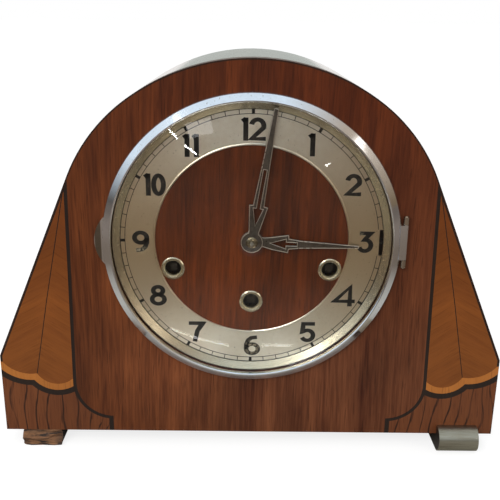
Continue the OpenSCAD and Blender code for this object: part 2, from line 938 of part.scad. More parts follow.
module centre_wheel() {
    color(brass) wheel(centre_at, centre_n, centre_m, 0, centre_y);
    color(steel) {
        pinion(centre_at, centre_pinion_n, great_m, centre_turn, second_y - 1, centre_y);
        bar(centre_at, arbor_r + 0.4, in_y + gap, back_plate_y0 - gap);
        bar(centre_at, arbor_r, plate_y, in_y + gap);
        bar(centre_at, pivot_r, back_plate_y0 - gap, back_plate_y1);
        bar(centre_at, centre_tip_r, minute_hand_y - 2.6, plate_y);
    }
}

module cannon_pinion() {
    color(steel) difference() {
        union() {
            bar(centre_at, cannon_r, minute_hand_y + hand_t, plate_y - gap);
            bar(centre_at, cannon_r - 0.5, minute_hand_y, minute_hand_y + hand_t);
            pinion(centre_at, cannon_n, cannon_m, 0, minute_wheel_y - 0.6, plate_y - gap);
        }
        bar(centre_at, centre_tip_r, minute_hand_y - 1, plate_y + 1);
    }
}

module minute_wheel() {
    color(brass) {
        wheel(
            minute_at, minute_n, cannon_m, minute_turn, minute_wheel_y, 1.5, 1.8,
            1 + fit
        );
        pinion(
            minute_at, minute_pinion_n, hour_m, 0, hour_wheel_y - 0.5, minute_wheel_y,
            1 + fit
        );
    }
}

module hour_wheel() {
    color(brass) {
        wheel(
            centre_at, hour_n, hour_m, hour_turn, hour_wheel_y, 1.5, hour_tube_r - 1,
            hour_bore
        );
        difference() {
            union() {
                bar(centre_at, hour_tube_r, hour_hand_y + hand_t, hour_wheel_y + 2.5);
                bar(
                    centre_at, hour_tube_r - 0.3, hour_hand_y - 0.2, hour_hand_y + hand_t
                );
            }
            bar(centre_at, hour_bore, -5, plate_y);
        }
    }
}

module second_wheel() {
    color(brass) wheel(second_at, second_n, great_m, 0, second_y);
    color(steel) {
        pinion(
            second_at, second_pinion_n, great_m, second_turn, great_y - 0.8,
            great_y + great_t + 0.4
        );
        arbor(second_at);
    }
}

module third_wheel() {
    color(brass) wheel(third_at, third_n, third_m, 0, third_y);
    color(steel) {
        pinion(
            third_at, third_pinion_n, centre_m, third_turn, centre_y - 0.7,
            centre_y + wheel_t + 0.7
        );
        bar(third_at, pivot_r + 0.2, in_y + gap, back_plate_y0 - gap);
        bar(third_at, pivot_r, plate_y, back_plate_y1);
    }
}

// The escape wheel's pointed teeth lean forward
module escape_wheel() {
    p = 360 / escape_n;
    color(brass) slab(escape_y, escape_y + 1.2) translate(escape_at) difference() {
        polygon([for (i = [0:escape_n - 1]) each let (a = i * p) [
            polar([0, 0], escape_r - 2, a + p * 0.1),
            polar([0, 0], escape_r, a + p * 0.42),
            polar([0, 0], escape_r, a + p * 0.5),
            polar([0, 0], escape_r - 2, a + p * 0.75)
        ]]);
        difference() {
            circle(escape_r - 3.2);
            circle(2.6);
            for (i = [0:3]) rotate(90 * i) translate([0, -0.6]) square([escape_r, 1.2]);
        }
    }
    color(steel) {
        pinion(
            escape_at, escape_pinion_n, third_m, escape_turn, third_y - 0.7,
            third_y + wheel_t + 0.7
        );
        bar(escape_at, pivot_r + 0.1, in_y + gap, back_plate_y0 - gap);
        bar(escape_at, pivot_r, plate_y, back_plate_y1);
    }
}

// The anchor with its arbor and crutch
crutch_l = 26;
rod_r = 1;
module anchor() {
    nib = escape_r + 0.5;
    a = 32;
    color(steel) {
        slab(escape_y - 0.4, escape_y + 1.6) difference() {
            union() {
                translate(pallet_at) circle(2.6);
                for (s = [-1, 1]) polygon([
                    pallet_at + [0, 1.4], pallet_at + [s * 8.4, -1.2],
                    polar(escape_at, nib, 90 - s * (a + 6)),
                    polar(escape_at, nib, 90 - s * a),
                    pallet_at + [s * 5.4, -1.4], pallet_at + [0, -1.2]
                ]);
            }
            translate(escape_at) circle(nib);
        }
        bar(pallet_at, pivot_r + 0.2, in_y + gap, back_plate_y0 - gap);
        bar(pallet_at, pivot_r, plate_y, pendulum_y - 3.6);
        // Crutch with a fork round the pendulum's rod
        slab(pendulum_y - 5, pendulum_y - 3.8) translate(pallet_at) union() {
            circle(2.2);
            translate([-1, -crutch_l]) square([2, crutch_l]);
        }
        for (s = [-1, 1])
            translate([
                s * (rod_r + gap + 0.4) - 0.4, pendulum_y - 5, pallet_at[1] - crutch_l
            ])
                cube([0.8, 5 + rod_r, 3]);
        translate([-rod_r - gap - 0.8, pendulum_y - 5, pallet_at[1] - crutch_l])
            cube([2 * (rod_r + gap + 0.8), 1.2, 3]);
    }
}

// The pendulum hangs by an eye on the cock's pin
eye_r = 3;
module pendulum() {
    bob_at = pallet_at - [0, pendulum_l];
    color(steel) {
        slab(pendulum_y - 1, pendulum_y + 1) translate(pallet_at) difference() {
            union() {
                circle(eye_r);
                translate([-1.6, -9]) square([3.2, 9]);
            }
            circle(rod_r + fit);
        }
        translate([0, pendulum_y, bob_at[1] - bob_r - 5])
            cylinder(r = rod_r, h = pendulum_l - 8 + bob_r + 5);
    }
    color(brass) {
        turned(bob_at) polygon([
            [0, pendulum_y - 3.5], [bob_r - 4, pendulum_y - 2.8],
            [bob_r, pendulum_y - 0.6], [bob_r, pendulum_y + 0.6],
            [bob_r - 4, pendulum_y + 2.8], [0, pendulum_y + 3.5]
        ]);
        translate([0, pendulum_y, bob_at[1] - bob_r - 3.6]) cylinder(r = 3, h = 2);
    }
}

// ---- Barrels and winding arbors ----
module barrel(p, t) {
    color(brass) {
        slab(great_y, great_y + great_t) translate(p) difference() {
            teeth(great_n, great_m, t, 0.42);
            circle(wind_arbor_r + fit);
        }
        difference() {
            turned(p) polygon([
                [wind_arbor_r + fit, great_y + great_t], [barrel_r, great_y + great_t],
                [barrel_r, great_y + great_t + barrel_l - 1.5],
                [barrel_r - 0.8, great_y + great_t + barrel_l],
                [wind_arbor_r + fit, great_y + great_t + barrel_l]
            ]);
        }
    }
}

module going_barrel() { barrel(going_at, going_turn); }
module strike_barrel() { barrel(strike_at, 0); }
module chime_barrel() { barrel(chime_at, 0); }

// A winding arbor with its square and the ratchet wheel that sits on it
module winding_arbor(p) {
    color(steel) {
        bar(p, wind_arbor_r, plate_y, back_plate_y0 - gap);
        bar(p, 2, back_plate_y0 - gap, back_plate_y1);
        bar(p, wind_arbor_r, ratchet_y, plate_y);
        translate([p[0] - square_w / 2, square_y, p[1] - square_w / 2])
            cube([square_w, ratchet_y - square_y, square_w]);
        slab(ratchet_y, ratchet_y + ratchet_t) translate(p)
            polygon([for (i = [0:ratchet_n - 1]) each let (a = i * 360 / ratchet_n) [
                polar([0, 0], ratchet_r - 1.3, a + 1),
                polar([0, 0], ratchet_r, a + 3),
                polar([0, 0], ratchet_r - 1.3, a + 360 / ratchet_n)
            ]]);
    }
}

module going_arbor() { winding_arbor(going_at); }
module strike_arbor() { winding_arbor(strike_at); }
module chime_arbor() { winding_arbor(chime_at); }

// ---- Strike and chime trains ----
module train_wheel(p, t) {
    color(brass) wheel(p, second_n, great_m, 0, second_y);
    color(steel) {
        pinion(p, second_pinion_n, great_m, t, great_y - 0.8, great_y + great_t + 0.4);
        arbor(p);
    }
}

module strike_wheel() { train_wheel(strike_wheel_at, strike_turn); }

module chime_wheel() {
    train_wheel(chime_wheel_at, chime_turn);
    // The arbor runs on through the back plate and carries the pin drum's driver
    color(steel) bar(chime_wheel_at, pivot_r, back_plate_y0, back_plate_y1 + 2.5);
    color(brass) wheel(
        chime_wheel_at, drum_gear_n, drum_gear_m, 0, back_plate_y1 + 1, 1.5, pivot_r
    );
}

// A fly: two vanes that slow a train by stirring the air
fly_r = 9;
module fly(p, t) {
    color(brass) translate([p[0] - fly_r, in_y + 6, p[1] - 0.25])
        cube([2 * fly_r, 18, 0.5]);
    color(steel) {
        pinion(p, fly_pinion_n, great_m, t, second_y - 0.8, second_y + wheel_t + 0.8);
        bar(p, pivot_r + 0.3, in_y + gap, back_plate_y0 - gap);
        bar(p, pivot_r, plate_y, back_plate_y1);
    }
}

module strike_fly() { fly(strike_fly_at, strike_fly_turn); }
module chime_fly() { fly(chime_fly_at, chime_fly_turn); }

// ---- Pin drum and hammers ----
drum_bore = 1.5 + fit;
rows = 4;
// Angles of the pins in each row
drum_pins = [
    [0, 80, 170, 250, 310], [20, 100, 150, 230, 290], [40, 120, 190, 270, 330],
    [60, 140, 210, 300, 345]
];
function row_at(i) = row_y + i * gong_step;

module pin_drum() {
    color(brass) {
        wheel(
            drum_at, drum_gear_n, drum_gear_m, drum_turn, back_plate_y1 + 1, 1.5, 2,
            drum_bore
        );
        difference() {
            union() {
                bar(drum_at, 3.4, back_plate_y1 + 2, drum_y);
                bar(drum_at, drum_r, drum_y, drum_y + drum_l);
            }
            bar(drum_at, drum_bore, back_plate_y1, stud_end_y);
        }
    }
    color(steel) for (i = [0:rows - 1], a = drum_pins[i])
        translate([drum_at[0], row_at(i), drum_at[1]]) rotate([0, a, 0])
            translate([0, 0, drum_r - 0.5]) cylinder(r = 0.5, h = drum_pin + 0.5);
}

// The studs that carry the pin drum and the hammers, each with a collar at its end
hammer_stud_r = 1.5;
module rear_studs() {
    color(steel) for (p = [drum_at, hammer_at]) {
        bar(p, hammer_stud_r, back_plate_y0, stud_end_y);
        bar(p, 3, stud_end_y, stud_end_y + 1.5);
    }
}

// A hammer: a lever on the stud with its tail beside the pin drum and its head above a
// gong rod
module hammer(i) {
    y = row_at(i);
    tail = [drum_at[0] + drum_r + drum_pin + gap + 0.9, drum_at[1] - 4];
    head = [hammer_rest_x, hammer_rest_z];
    stem_a = dir(hammer_at, head);
    stem_l = norm(head - hammer_at);
    tail_a = dir(hammer_at, tail);
    color(steel) difference() {
        union() {
            bar(hammer_at, 3.4, y - 0.36 * gong_step, y + 0.36 * gong_step);
            slab(y - 0.8, y + 0.8) translate(hammer_at) union() {
                rotate(stem_a) translate([0, -0.9]) square([stem_l, 1.8]);
                rotate(tail_a) translate([0, -0.9]) square([norm(tail - hammer_at), 1.8]);
            }
        }
        bar(hammer_at, hammer_stud_r + fit, y - 5, y + 5);
    }
    color(brass) translate([head[0], y, head[1] - 7])
        cylinder(r = 0.4 * gong_step, h = 11);
}

module hammer_1() { hammer(0); }
module hammer_2() { hammer(1); }
module hammer_3() { hammer(2); }
module hammer_4() { hammer(3); }

block_x0 = -116;
block_x1 = -92;
module gong_block() {
    y0 = row_at(0) - 6;
    w = (rows - 1) * gong_step + 12;
    color(iron) difference() {
        union() {
            translate([block_x0, y0, base_z]) cube([block_x1 - block_x0, w, 8]);
            translate([block_x0 + 5, y0, base_z])
                cube([block_x1 - block_x0 - 5, w, gong_z - base_z + 6]);
        }
        for (i = [0:rows - 1])
            translate([block_x0 - 1, row_at(i), gong_z]) rotate([0, 90, 0])
                cylinder(r = gong_r + 0.8, h = block_x1 - block_x0 + 2);
    }
}

module gong_rods() {
    color(brass) for (i = [0:rows - 1])
        translate([block_x0 + 7, row_at(i), gong_z]) rotate([0, 90, 0]) {
            cylinder(r = gong_r + 0.8, h = 20);
            cylinder(r = gong_r, h = 178 - 9 * i);
        }
}

// ---- Plates, pillars, brackets and screws ----
pillar_at = [
    [-plate_x + 7, plate_z1 - 8], [plate_x - 7, plate_z1 - 8],
    [-plate_x + 7, plate_z0 + 24], [plate_x - 7, plate_z0 + 24]
];
pillar_r = 3.5;
plate_corner = 6;

module plate_shape() {
    for (s = [-1, 1], z = [plate_z0 + plate_corner, plate_z1 - plate_corner])
        translate([s * (plate_x - plate_corner), z]) circle(plate_corner);
    translate([-plate_x, plate_z0 + plate_corner])
        square([2 * plate_x, plate_z1 - plate_z0 - 2 * plate_corner]);
    translate([-plate_x + plate_corner, plate_z0])
        square([2 * (plate_x - plate_corner), plate_z1 - plate_z0]);
}

// Pivot holes that both plates share
pivots = [
    second_at, third_at, escape_at, strike_wheel_at, chime_wheel_at, strike_fly_at,
    chime_fly_at, pallet_at
];

module front_plate() {
    color(brass) {
        slab(plate_y, in_y) difference() {
            plate_shape();
            for (p = pivots) translate(p) circle(bush_r);
            for (p = wind_holes) translate(p) circle(wind_arbor_r + fit);
            translate(centre_at) circle(arbor_r + fit);
            for (p = pillar_at) translate(p) circle(1.5);
        }
        // Studs for the minute wheel and the silence lever
        bar(minute_at, 1, hour_wheel_y - 1, plate_y);
        bar(lever_at, 1.5, lever_y - 0.6, plate_y);
        bar(lever_at, 2.6, lever_y + 1.2 + fit, lever_y + 2.4);
    }
}

cock_y = pendulum_y + 4;
module back_plate() {
    color(brass) {
        slab(back_plate_y0, back_plate_y1) difference() {
            plate_shape();
            for (p = pivots) translate(p) circle(bush_r);
            for (p = wind_holes) translate(p) circle(2 + fit);
            translate(centre_at) circle(bush_r);
            for (p = [drum_at, hammer_at]) translate(p) circle(hammer_stud_r);
            for (p = pillar_at) translate(p) circle(1.5);
        }
    }
    // The cock that carries the pendulum's pin
    color(brass) {
        translate([-6, back_plate_y1, pallet_at[1] + 4.5])
            cube([12, cock_y + 2 - back_plate_y1, 2]);
        translate([-6, back_plate_y1, pallet_at[1] + 4.5]) cube([12, 1.5, 5]);
        slab(cock_y, cock_y + 2) translate(pallet_at) translate([-3, -3])
            square([6, 9]);
    }
    color(steel) bar(pallet_at, rod_r, pendulum_y - 2, cock_y);
}

module pillars() {
    color(brass) for (p = pillar_at) {
        bar(p, pillar_r, in_y, back_plate_y0);
        bar(p, 1.5, plate_y, back_plate_y1);
        bar(p, 3, back_plate_y1, back_plate_y1 + 2);
    }
}

bracket_x = 62;
bracket_w = 12;
bracket_t = 1.5;
bracket_l = 12;
module bracket(x, z, s) {
    y0 = front_t;
    translate([x - bracket_w / 2, 0, z]) mirror([0, 0, s < 0 ? 1 : 0]) {
        translate([0, plate_y - bracket_t, -bracket_l])
            cube([bracket_w, bracket_t, bracket_l + bracket_t]);
        translate([0, y0, 0]) cube([bracket_w, plate_y - y0, bracket_t]);
        translate([0, y0, 0]) cube([bracket_w, bracket_t, bracket_l]);
    }
}

bracket_z = [plate_z1 + 1, plate_z0 - 1];
module movement_brackets() {
    color(steel) for (x = [-bracket_x, bracket_x]) {
        bracket(x, bracket_z[0], 1);
        bracket(x, bracket_z[1], -1);
    }
}

screw_r = 3;
module screws() {
    color(steel) for (x = [-bracket_x, bracket_x], s = [1, -1]) {
        z = s > 0 ? bracket_z[0] : bracket_z[1];
        bar([x, z + s * 8], screw_r, front_t + bracket_t, front_t + bracket_t + 1.6);
        bar([x, z - s * 7], screw_r, plate_y - bracket_t - 1.6, plate_y - bracket_t);
    }
}

// ---- Drawing ----
module placed() {
    translate([0, shift_y, 0]) children();
}

placed() {
    case_wrap();
    front_board();
    base_board();
    back_board();
    centre_veneer();
    fan_leaves();
    scallop_bands();
    stringing();
    corner_veneers();
    foot_left();
    foot_right();
    foot_cover();
    rear_door();
    rear_door_hinge();
    rear_door_knob();
    bezel_ring();
    door_glass();
    bezel_hinge();
    sight_ring();
    dial_plate();
    chapter_ring();
    dial_centre();
    grommets();
    minute_hand();
    hour_hand();
    hand_nut();
    silence_lever();
    front_plate();
    back_plate();
    pillars();
    movement_brackets();
    screws();
    centre_wheel();
    cannon_pinion();
    minute_wheel();
    hour_wheel();
    second_wheel();
    third_wheel();
    escape_wheel();
    anchor();
    pendulum();
    going_barrel();
    going_arbor();
    strike_barrel();
    strike_arbor();
    strike_wheel();
    strike_fly();
    chime_barrel();
    chime_arbor();
    chime_wheel();
    chime_fly();
    pin_drum();
    rear_studs();
    hammer_1();
    hammer_2();
    hammer_3();
    hammer_4();
    gong_block();
    gong_rods();
}
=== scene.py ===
"""A chiming mantel clock in an arched case with straight, leaning sides.

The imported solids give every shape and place. This script gives them their finishes and adds
the thin pieces that lie on them, the lights and the camera. Sizes in millimetres are read on
the case: x to the right, y back from the face, z up from the floor.
"""
import math

import bmesh
import bpy
import mathutils
import numpy as np
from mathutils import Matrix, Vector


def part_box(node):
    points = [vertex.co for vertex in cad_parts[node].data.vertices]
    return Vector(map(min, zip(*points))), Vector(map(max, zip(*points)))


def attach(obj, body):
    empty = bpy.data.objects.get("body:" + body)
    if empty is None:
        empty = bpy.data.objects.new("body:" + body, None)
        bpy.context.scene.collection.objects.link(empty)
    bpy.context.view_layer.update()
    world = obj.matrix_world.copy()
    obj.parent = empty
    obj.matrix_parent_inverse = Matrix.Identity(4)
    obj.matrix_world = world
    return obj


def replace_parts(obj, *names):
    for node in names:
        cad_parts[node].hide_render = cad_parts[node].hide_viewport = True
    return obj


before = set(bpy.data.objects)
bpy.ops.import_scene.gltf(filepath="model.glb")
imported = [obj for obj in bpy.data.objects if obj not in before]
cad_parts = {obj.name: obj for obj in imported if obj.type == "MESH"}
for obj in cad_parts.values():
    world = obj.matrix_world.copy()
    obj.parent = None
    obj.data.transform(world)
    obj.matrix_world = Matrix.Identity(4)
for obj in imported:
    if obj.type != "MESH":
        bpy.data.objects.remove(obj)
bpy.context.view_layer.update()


# ---- The camera ---------------------------------------------------------------------------
# The picture is taken forty centimetres in front of the face, from just above the clock's
# top, and looks down by seventeen and a half degrees, so that the dial is foreshortened and
# a strip of the top shows.

# The eye's place is in the model's own frame, whose middle lies 59.35 mm behind the face. The
# three angles are in radians.
eye = np.array([-3.75, -464.63, 255.84]) / 1000
yaw = 0.0042
pitch = 0.3068
roll = -0.0121

ahead = np.array([
    math.sin(yaw) * math.cos(pitch),
    math.cos(yaw) * math.cos(pitch),
    -math.sin(pitch),
])
level = np.array([math.cos(yaw), -math.sin(yaw), 0.0])
plumb = np.cross(ahead, level)
rightward = math.cos(roll) * level + math.sin(roll) * plumb
downward = math.cos(roll) * plumb - math.sin(roll) * level

camera = bpy.data.objects.new("camera", bpy.data.cameras.new("camera"))
camera.data.lens = 53.456
camera.data.sensor_width = 36
camera.data.shift_x = 0.0038
camera.data.shift_y = 0.0018
camera.data.clip_start = 0.01
turned = mathutils.Matrix(np.stack([rightward, -downward, -ahead], axis=1).tolist())
camera.matrix_world = mathutils.Matrix.Translation(eye.tolist()) @ turned.to_4x4()
bpy.context.scene.collection.objects.link(camera)
bpy.context.scene.camera = camera
bpy.context.scene.view_settings.view_transform = "Standard"


# ---- The studio ---------------------------------------------------------------------------
# The background is white. Shiny things show a room instead: cool daylight high up, darkness
# low down, warm brown on the right and grey behind the clock. A soft window light stands in
# front on the upper left.

def node(tree, kind, inputs=(), **options):
    """Add a node, set its options, and feed its inputs with plain values or sockets."""
    made = tree.nodes.new(kind if kind.startswith("NodeGroup") else "ShaderNode" + kind)
    for option, choice in options.items():
        setattr(made, option, choice)
    for place, value in dict(inputs).items():
        if isinstance(value, bpy.types.NodeSocket):
            tree.links.new(value, made.inputs[place])
        else:
            made.inputs[place].default_value = value
    return made


def maths(tree, operation, *values):
    """The result of one sum on plain numbers, such as ADD, MULTIPLY or MAXIMUM."""
    return node(tree, "Math", enumerate(values), operation=operation).outputs[0]


def spread(tree, value, low, high, first=0.0, last=1.0):
    """Stretch what lies between low and high over first to last, and hold it there."""
    fed = {"Value": value, "From Min": low, "From Max": high, "To Min": first, "To Max": last}
    return node(tree, "MapRange", fed).outputs[0]


def blend(tree, share, one, other):
    """Mix from the first colour to the other by a share from 0 to 1."""
    fed = {0: share, 6: one, 7: other}
    return node(tree, "Mix", fed, data_type="RGBA").outputs[2]


def shade(red, green, blue):
    """A colour as a paint chart counts it, 0 to 255, in the linear light of the shaders.

    The screen's curve is undone: a power of 2.4, and a straight line close to black.
    """
    seen = np.array([red, green, blue]) / 255
    linear = np.where(seen > 0.04045, ((seen + 0.055) / 1.055) ** 2.4, seen / 12.92)
    return (*linear.tolist(), 1.0)


def sight(tree):
    """How a ray left the camera: straight or through glass, or off a shiny surface.

    A ray through glass counts as straight until it has bounced off something shiny.
    """
    rays = node(tree, "LightPath").outputs
    bounced = maths(tree, "MINIMUM", rays["Glossy Depth"], 1.0)
    through = rays["Is Transmission Ray"]
    clear = maths(tree, "MULTIPLY", through, maths(tree, "SUBTRACT", 1.0, bounced))
    back = maths(tree, "MULTIPLY", through, bounced)
    straight = maths(tree, "MAXIMUM", rays["Is Camera Ray"], clear)
    return straight, maths(tree, "MAXIMUM", rays["Is Glossy Ray"], back)


world = bpy.data.worlds.new("studio")
bpy.context.scene.world = world
world.use_nodes = True
air = world.node_tree
air.nodes.clear()
heading = node(air, "SeparateXYZ", {0: node(air, "TexCoord").outputs["Generated"]})
straight, mirrored = sight(air)
darkness, brown_floor = (0.10, 0.09, 0.08, 1), (0.20, 0.14, 0.08, 1)
daylight, brown_wall = (0.80, 0.91, 1.0, 1), (0.5, 0.41, 0.32, 1)
back_wall = (0.52, 0.56, 0.53, 1)
soft_light = (0.78, 0.79, 0.80, 1)
low = blend(air, spread(air, heading.outputs["X"], 0.1, 0.6), darkness, brown_floor)
high = blend(air, spread(air, heading.outputs["X"], 0.25, 0.7), daylight, brown_wall)
walls = blend(air, spread(air, heading.outputs["Z"], 0.02, 0.36), low, high)
walls = blend(air, spread(air, heading.outputs["Y"], 0.2, 0.5), walls, back_wall)
room = blend(air, mirrored, soft_light, walls)
glow = node(air, "Background", {"Color": blend(air, straight, room, (1, 1, 1, 1))})
node(air, "OutputWorld", {"Surface": glow.outputs[0]})


def lamp(name, place, aim, width, height, watts, colour):
    """A flat soft light at a place in metres, turned to face the point that it aims at."""
    light = bpy.data.lights.new(name, "AREA")
    light.shape = "RECTANGLE"
    light.size = width
    light.size_y = height
    light.energy = watts
    light.color = colour
    held = bpy.data.objects.new(name, light)
    held.location = place
    held.rotation_euler = (
        mathutils.Vector(aim) - mathutils.Vector(place)
    ).to_track_quat("-Z", "Y").to_euler()
    bpy.context.scene.collection.objects.link(held)
    return held


lamp("window", (-0.75, -1.2, 1.05), (0, 0, 0.10), 0.9, 0.8, 14, (1.0, 0.97, 0.93))
lamp("bounce", (1.25, -0.9, 0.6), (0, 0, 0.12), 0.6, 0.9, 3, (1.0, 0.94, 0.86))
lamp("above", (0.1, 0.3, 1.5), (0, 0, 0.1), 1.2, 0.8, 5, (0.95, 0.98, 1.0))

# Slim lamps in the room give the streaks on the dial's glass, and light nothing else.
dial_z = 132.0
glass_middle = mathutils.Vector((0, -0.06, dial_z / 1000))
glass_only = bpy.data.collections.new("door_glass_only")
glass_only.objects.link(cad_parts["door_glass"])


def streak(name, first, last, width, strength):
    """A slim lamp from one point to another, turned about that line to face the glass.

    Its watts are four times the product of its length, its width and the strength that the
    glass shows.
    """
    first, last = mathutils.Vector(first), mathutils.Vector(last)
    middle = (first + last) / 2
    length = (last - first).length
    along = (last - first).normalized()
    facing = glass_middle - middle
    facing = (facing - facing.dot(along) * along).normalized()
    watts = 4 * length * width * strength
    held = lamp(name, middle, glass_middle, length, width, watts, (1, 1, 1))
    turn = mathutils.Matrix((along, along.cross(facing), -facing)).transposed()
    held.rotation_euler = turn.to_euler()
    held.visible_camera = False
    held.light_linking.receiver_collection = glass_only


streak("tube_left", (-0.340, -1.430, 0.206), (-0.303, -1.437, 0.165), 0.009, 60)
streak("tube_middle", (-0.278, -1.441, 0.145), (-0.2235, -1.4475, 0.104), 0.009, 60)
streak("tube_right", (0.316, -1.431, 0.063), (0.341, -1.427, 0.076), 0.008, 36)
streak("pane_left", (-0.262, -1.443, 0.196), (-0.160, -1.456, 0.226), 0.055, 3.5)
streak("glint_left", (-0.0713, -0.1627, 0.0186), (-0.0462, -0.1629, 0.0095), 0.0016, 14)
streak("glint_middle", (-0.0462, -0.1629, 0.0095), (-0.0183, -0.1627, 0.0032), 0.0016, 14)
streak("glint_right", (0.0114, -0.1629, 0.0035), (0.0393, -0.1618, 0.0038), 0.0016, 10)


# ---- The case -----------------------------------------------------------------------------
# Dark polished walnut: a thick front board, one bent board that makes the sides and the
# arched top, and a base board. The wood is stained, and its lacquer has gone a little hazy.

def group(name, inputs, outputs):
    """Start a shared effect with named inputs, each a kind and a first value, and outputs."""
    tree = bpy.data.node_groups.new(name, "ShaderNodeTree")
    for label, (kind, value) in inputs.items():
        socket = tree.interface.new_socket(
            label, in_out="INPUT", socket_type="NodeSocket" + kind
        )
        if value is not None:
            socket.default_value = value
    for label, kind in outputs.items():
        tree.interface.new_socket(label, in_out="OUTPUT", socket_type="NodeSocket" + kind)
    return tree, node(tree, "NodeGroupInput").outputs


def cloud(tree, vector, sizes, detail=2.0):
    """Soft noise from 0 to 1 whose lumps repeat so many times in a metre along x, y and z."""
    scaled = node(tree, "VectorMath", {0: vector, 1: sizes}, operation="MULTIPLY")
    fed = {"Vector": scaled.outputs[0], "Scale": 1.0, "Detail": detail}
    return node(tree, "TexNoise", fed).outputs[0]


wood_grain, given = group("wood_grain", {
    "Vector": ("Vector", None),
    "Ground": ("Color", shade(105, 58, 38)),
    "Streak": ("Color", shade(78, 40, 29)),
    "Pore": ("Color", shade(45, 24, 19)),
    "Contrast": ("Float", 1.0),
    "Figure": ("Float", 0.08),
}, {"Colour": "Color", "Roughness": "Float", "Height": "Float"})
# The grain runs along z. A slow sideways wander bends it, and four finer and finer sets of
# lines lie on top of each other: bands, streaks, fibres and open pores.
swerve = cloud(wood_grain, given[0], (7, 7, 2.2), 1)
wander = maths(wood_grain, "MULTIPLY_ADD", swerve, 0.03, -0.015)
bent = node(
    wood_grain, "VectorMath",
    {0: given[0], 1: node(wood_grain, "CombineXYZ", {0: wander, 1: wander}).outputs[0]},
    operation="ADD",
).outputs[0]
bands = cloud(wood_grain, bent, (36, 36, 5))
streaks = cloud(wood_grain, bent, (190, 190, 9), 3)
fibres = cloud(wood_grain, bent, (800, 800, 34))
pores = cloud(wood_grain, bent, (1700, 1700, 60), 1)
lines = maths(
    wood_grain, "ADD",
    maths(wood_grain, "MULTIPLY", spread(wood_grain, bands, 0.36, 0.66), 0.36),
    maths(wood_grain, "MULTIPLY", spread(wood_grain, streaks, 0.36, 0.70), 0.34),
)
lines = maths(
    wood_grain, "MULTIPLY_ADD", spread(wood_grain, fibres, 0.32, 0.68), 0.32, lines
)
lines = maths(wood_grain, "MULTIPLY", lines, given["Contrast"])
open_pores = spread(wood_grain, pores, 0.60, 0.70)
tinted = blend(wood_grain, lines, given["Ground"], given["Streak"])
tinted = blend(wood_grain, maths(wood_grain, "MULTIPLY", open_pores, 0.42), tinted, given["Pore"])
figure = maths(
    wood_grain, "MULTIPLY_ADD",
    maths(wood_grain, "SUBTRACT", cloud(wood_grain, bent, (26, 26, 15), 3), 0.5),
    maths(wood_grain, "MULTIPLY", given["Figure"], 4.0), 1.0,
)
tinted = node(
    wood_grain, "VectorMath", {0: tinted, "Scale": figure}, operation="SCALE"
).outputs[0]
node(wood_grain, "NodeGroupOutput", {
    "Colour": tinted,
    "Roughness": maths(wood_grain, "MULTIPLY_ADD", streaks, 0.2, 0.28),
    "Height": maths(wood_grain, "MULTIPLY_ADD", open_pores, -0.8, fibres),
})


def finish(name):
    """Start a finish: its node tree, and the place on the clock that its patterns follow."""
    made = bpy.data.materials.new(name)
    made.use_nodes = True
    made.node_tree.nodes.clear()
    return made, made.node_tree, node(made.node_tree, "TexCoord").outputs["Object"]


def shader(tree, inputs, height=None, depth=0.0):
    """Close a finish with its shader; a height from 0 to 1 raises the skin by the depth."""
    made = node(tree, "BsdfPrincipled", inputs)
    if height is not None:
        bump = node(tree, "Bump", {"Height": height, "Distance": depth, "Strength": 1.0})
        tree.links.new(bump.outputs[0], made.inputs["Normal"])
    node(tree, "OutputMaterial", {"Surface": made.outputs[0]})


def axes(tree, vector, order):
    """Read the place with its axes in another order, so that the grain runs another way."""
    apart = node(tree, "SeparateXYZ", {0: vector})
    fed = {i: apart.outputs[axis] for i, axis in enumerate(order)}
    return node(tree, "CombineXYZ", fed).outputs[0]


def wooden(tree, vector, colours, contrast=1.0, figure=0.08):
    """Place the grain in a finish with its three colours."""
    return node(tree, "Group", {
        "Vector": vector,
        "Ground": colours[0],
        "Streak": colours[1],
        "Pore": colours[2],
        "Contrast": contrast,
        "Figure": figure,
    }, node_tree=wood_grain).outputs


def lacquered(tree, grain, coat=0.12, coat_roughness=0.14, depth=0.00002, colour=None):
    """Close a wooden finish under a clear lacquer that follows the grain a little.

    A colour that is given takes the place of the grain's own.
    """
    shader(tree, {
        "Base Color": grain["Colour"] if colour is None else colour,
        "Roughness": grain["Roughness"],
        "Coat Weight": coat,
        "Coat Roughness": coat_roughness,
        "Specular IOR Level": 0.14,
    }, grain["Height"], depth)


def dress(made, *names):
    """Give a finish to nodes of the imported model."""
    for name in names:
        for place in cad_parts[name].material_slots:
            place.material = made


walnut_dark = (shade(84, 44, 27), shade(54, 27, 18), shade(30, 16, 12))
case_walnut, tree, place = finish("case_walnut")
lacquered(tree, wooden(tree, axes(tree, place, "XZY"), walnut_dark), 1.0, 0.07, 0.000005)
dress(case_walnut, "case_wrap")

board_walnut, tree, place = finish("board_walnut")
lacquered(tree, wooden(tree, place, walnut_dark))
dress(board_walnut, "front_board")

raw_wood, tree, place = finish("raw_wood")
raw_colours = (shade(158, 116, 80), shade(120, 82, 55), shade(70, 46, 32))
grain = wooden(tree, axes(tree, place, "YZX"), raw_colours, 1.0, 0.1)
shader(tree, {"Base Color": grain["Colour"], "Roughness": 0.75}, grain["Height"], 0.00006)
dress(raw_wood, "base_board")

back_board, tree, place = finish("back_board")
back_colours = (shade(92, 56, 38), shade(64, 38, 27), shade(36, 22, 17))
grain = wooden(tree, place, back_colours, 0.9, 0.1)
shader(tree, {"Base Color": grain["Colour"], "Roughness": 0.6}, grain["Height"], 0.00004)
dress(back_board, "back_board", "rear_door")


# ---- The marquetry of the front -----------------------------------------------------------
# Walnut in the middle, and on each side a fan of two leaves whose grain meets in a feather,
# bordered by light scalloped bands and black stringing. All of it is knife-cut veneer, glued
# down and lacquered over.

veneer_walnut, tree, place = finish("veneer_walnut")
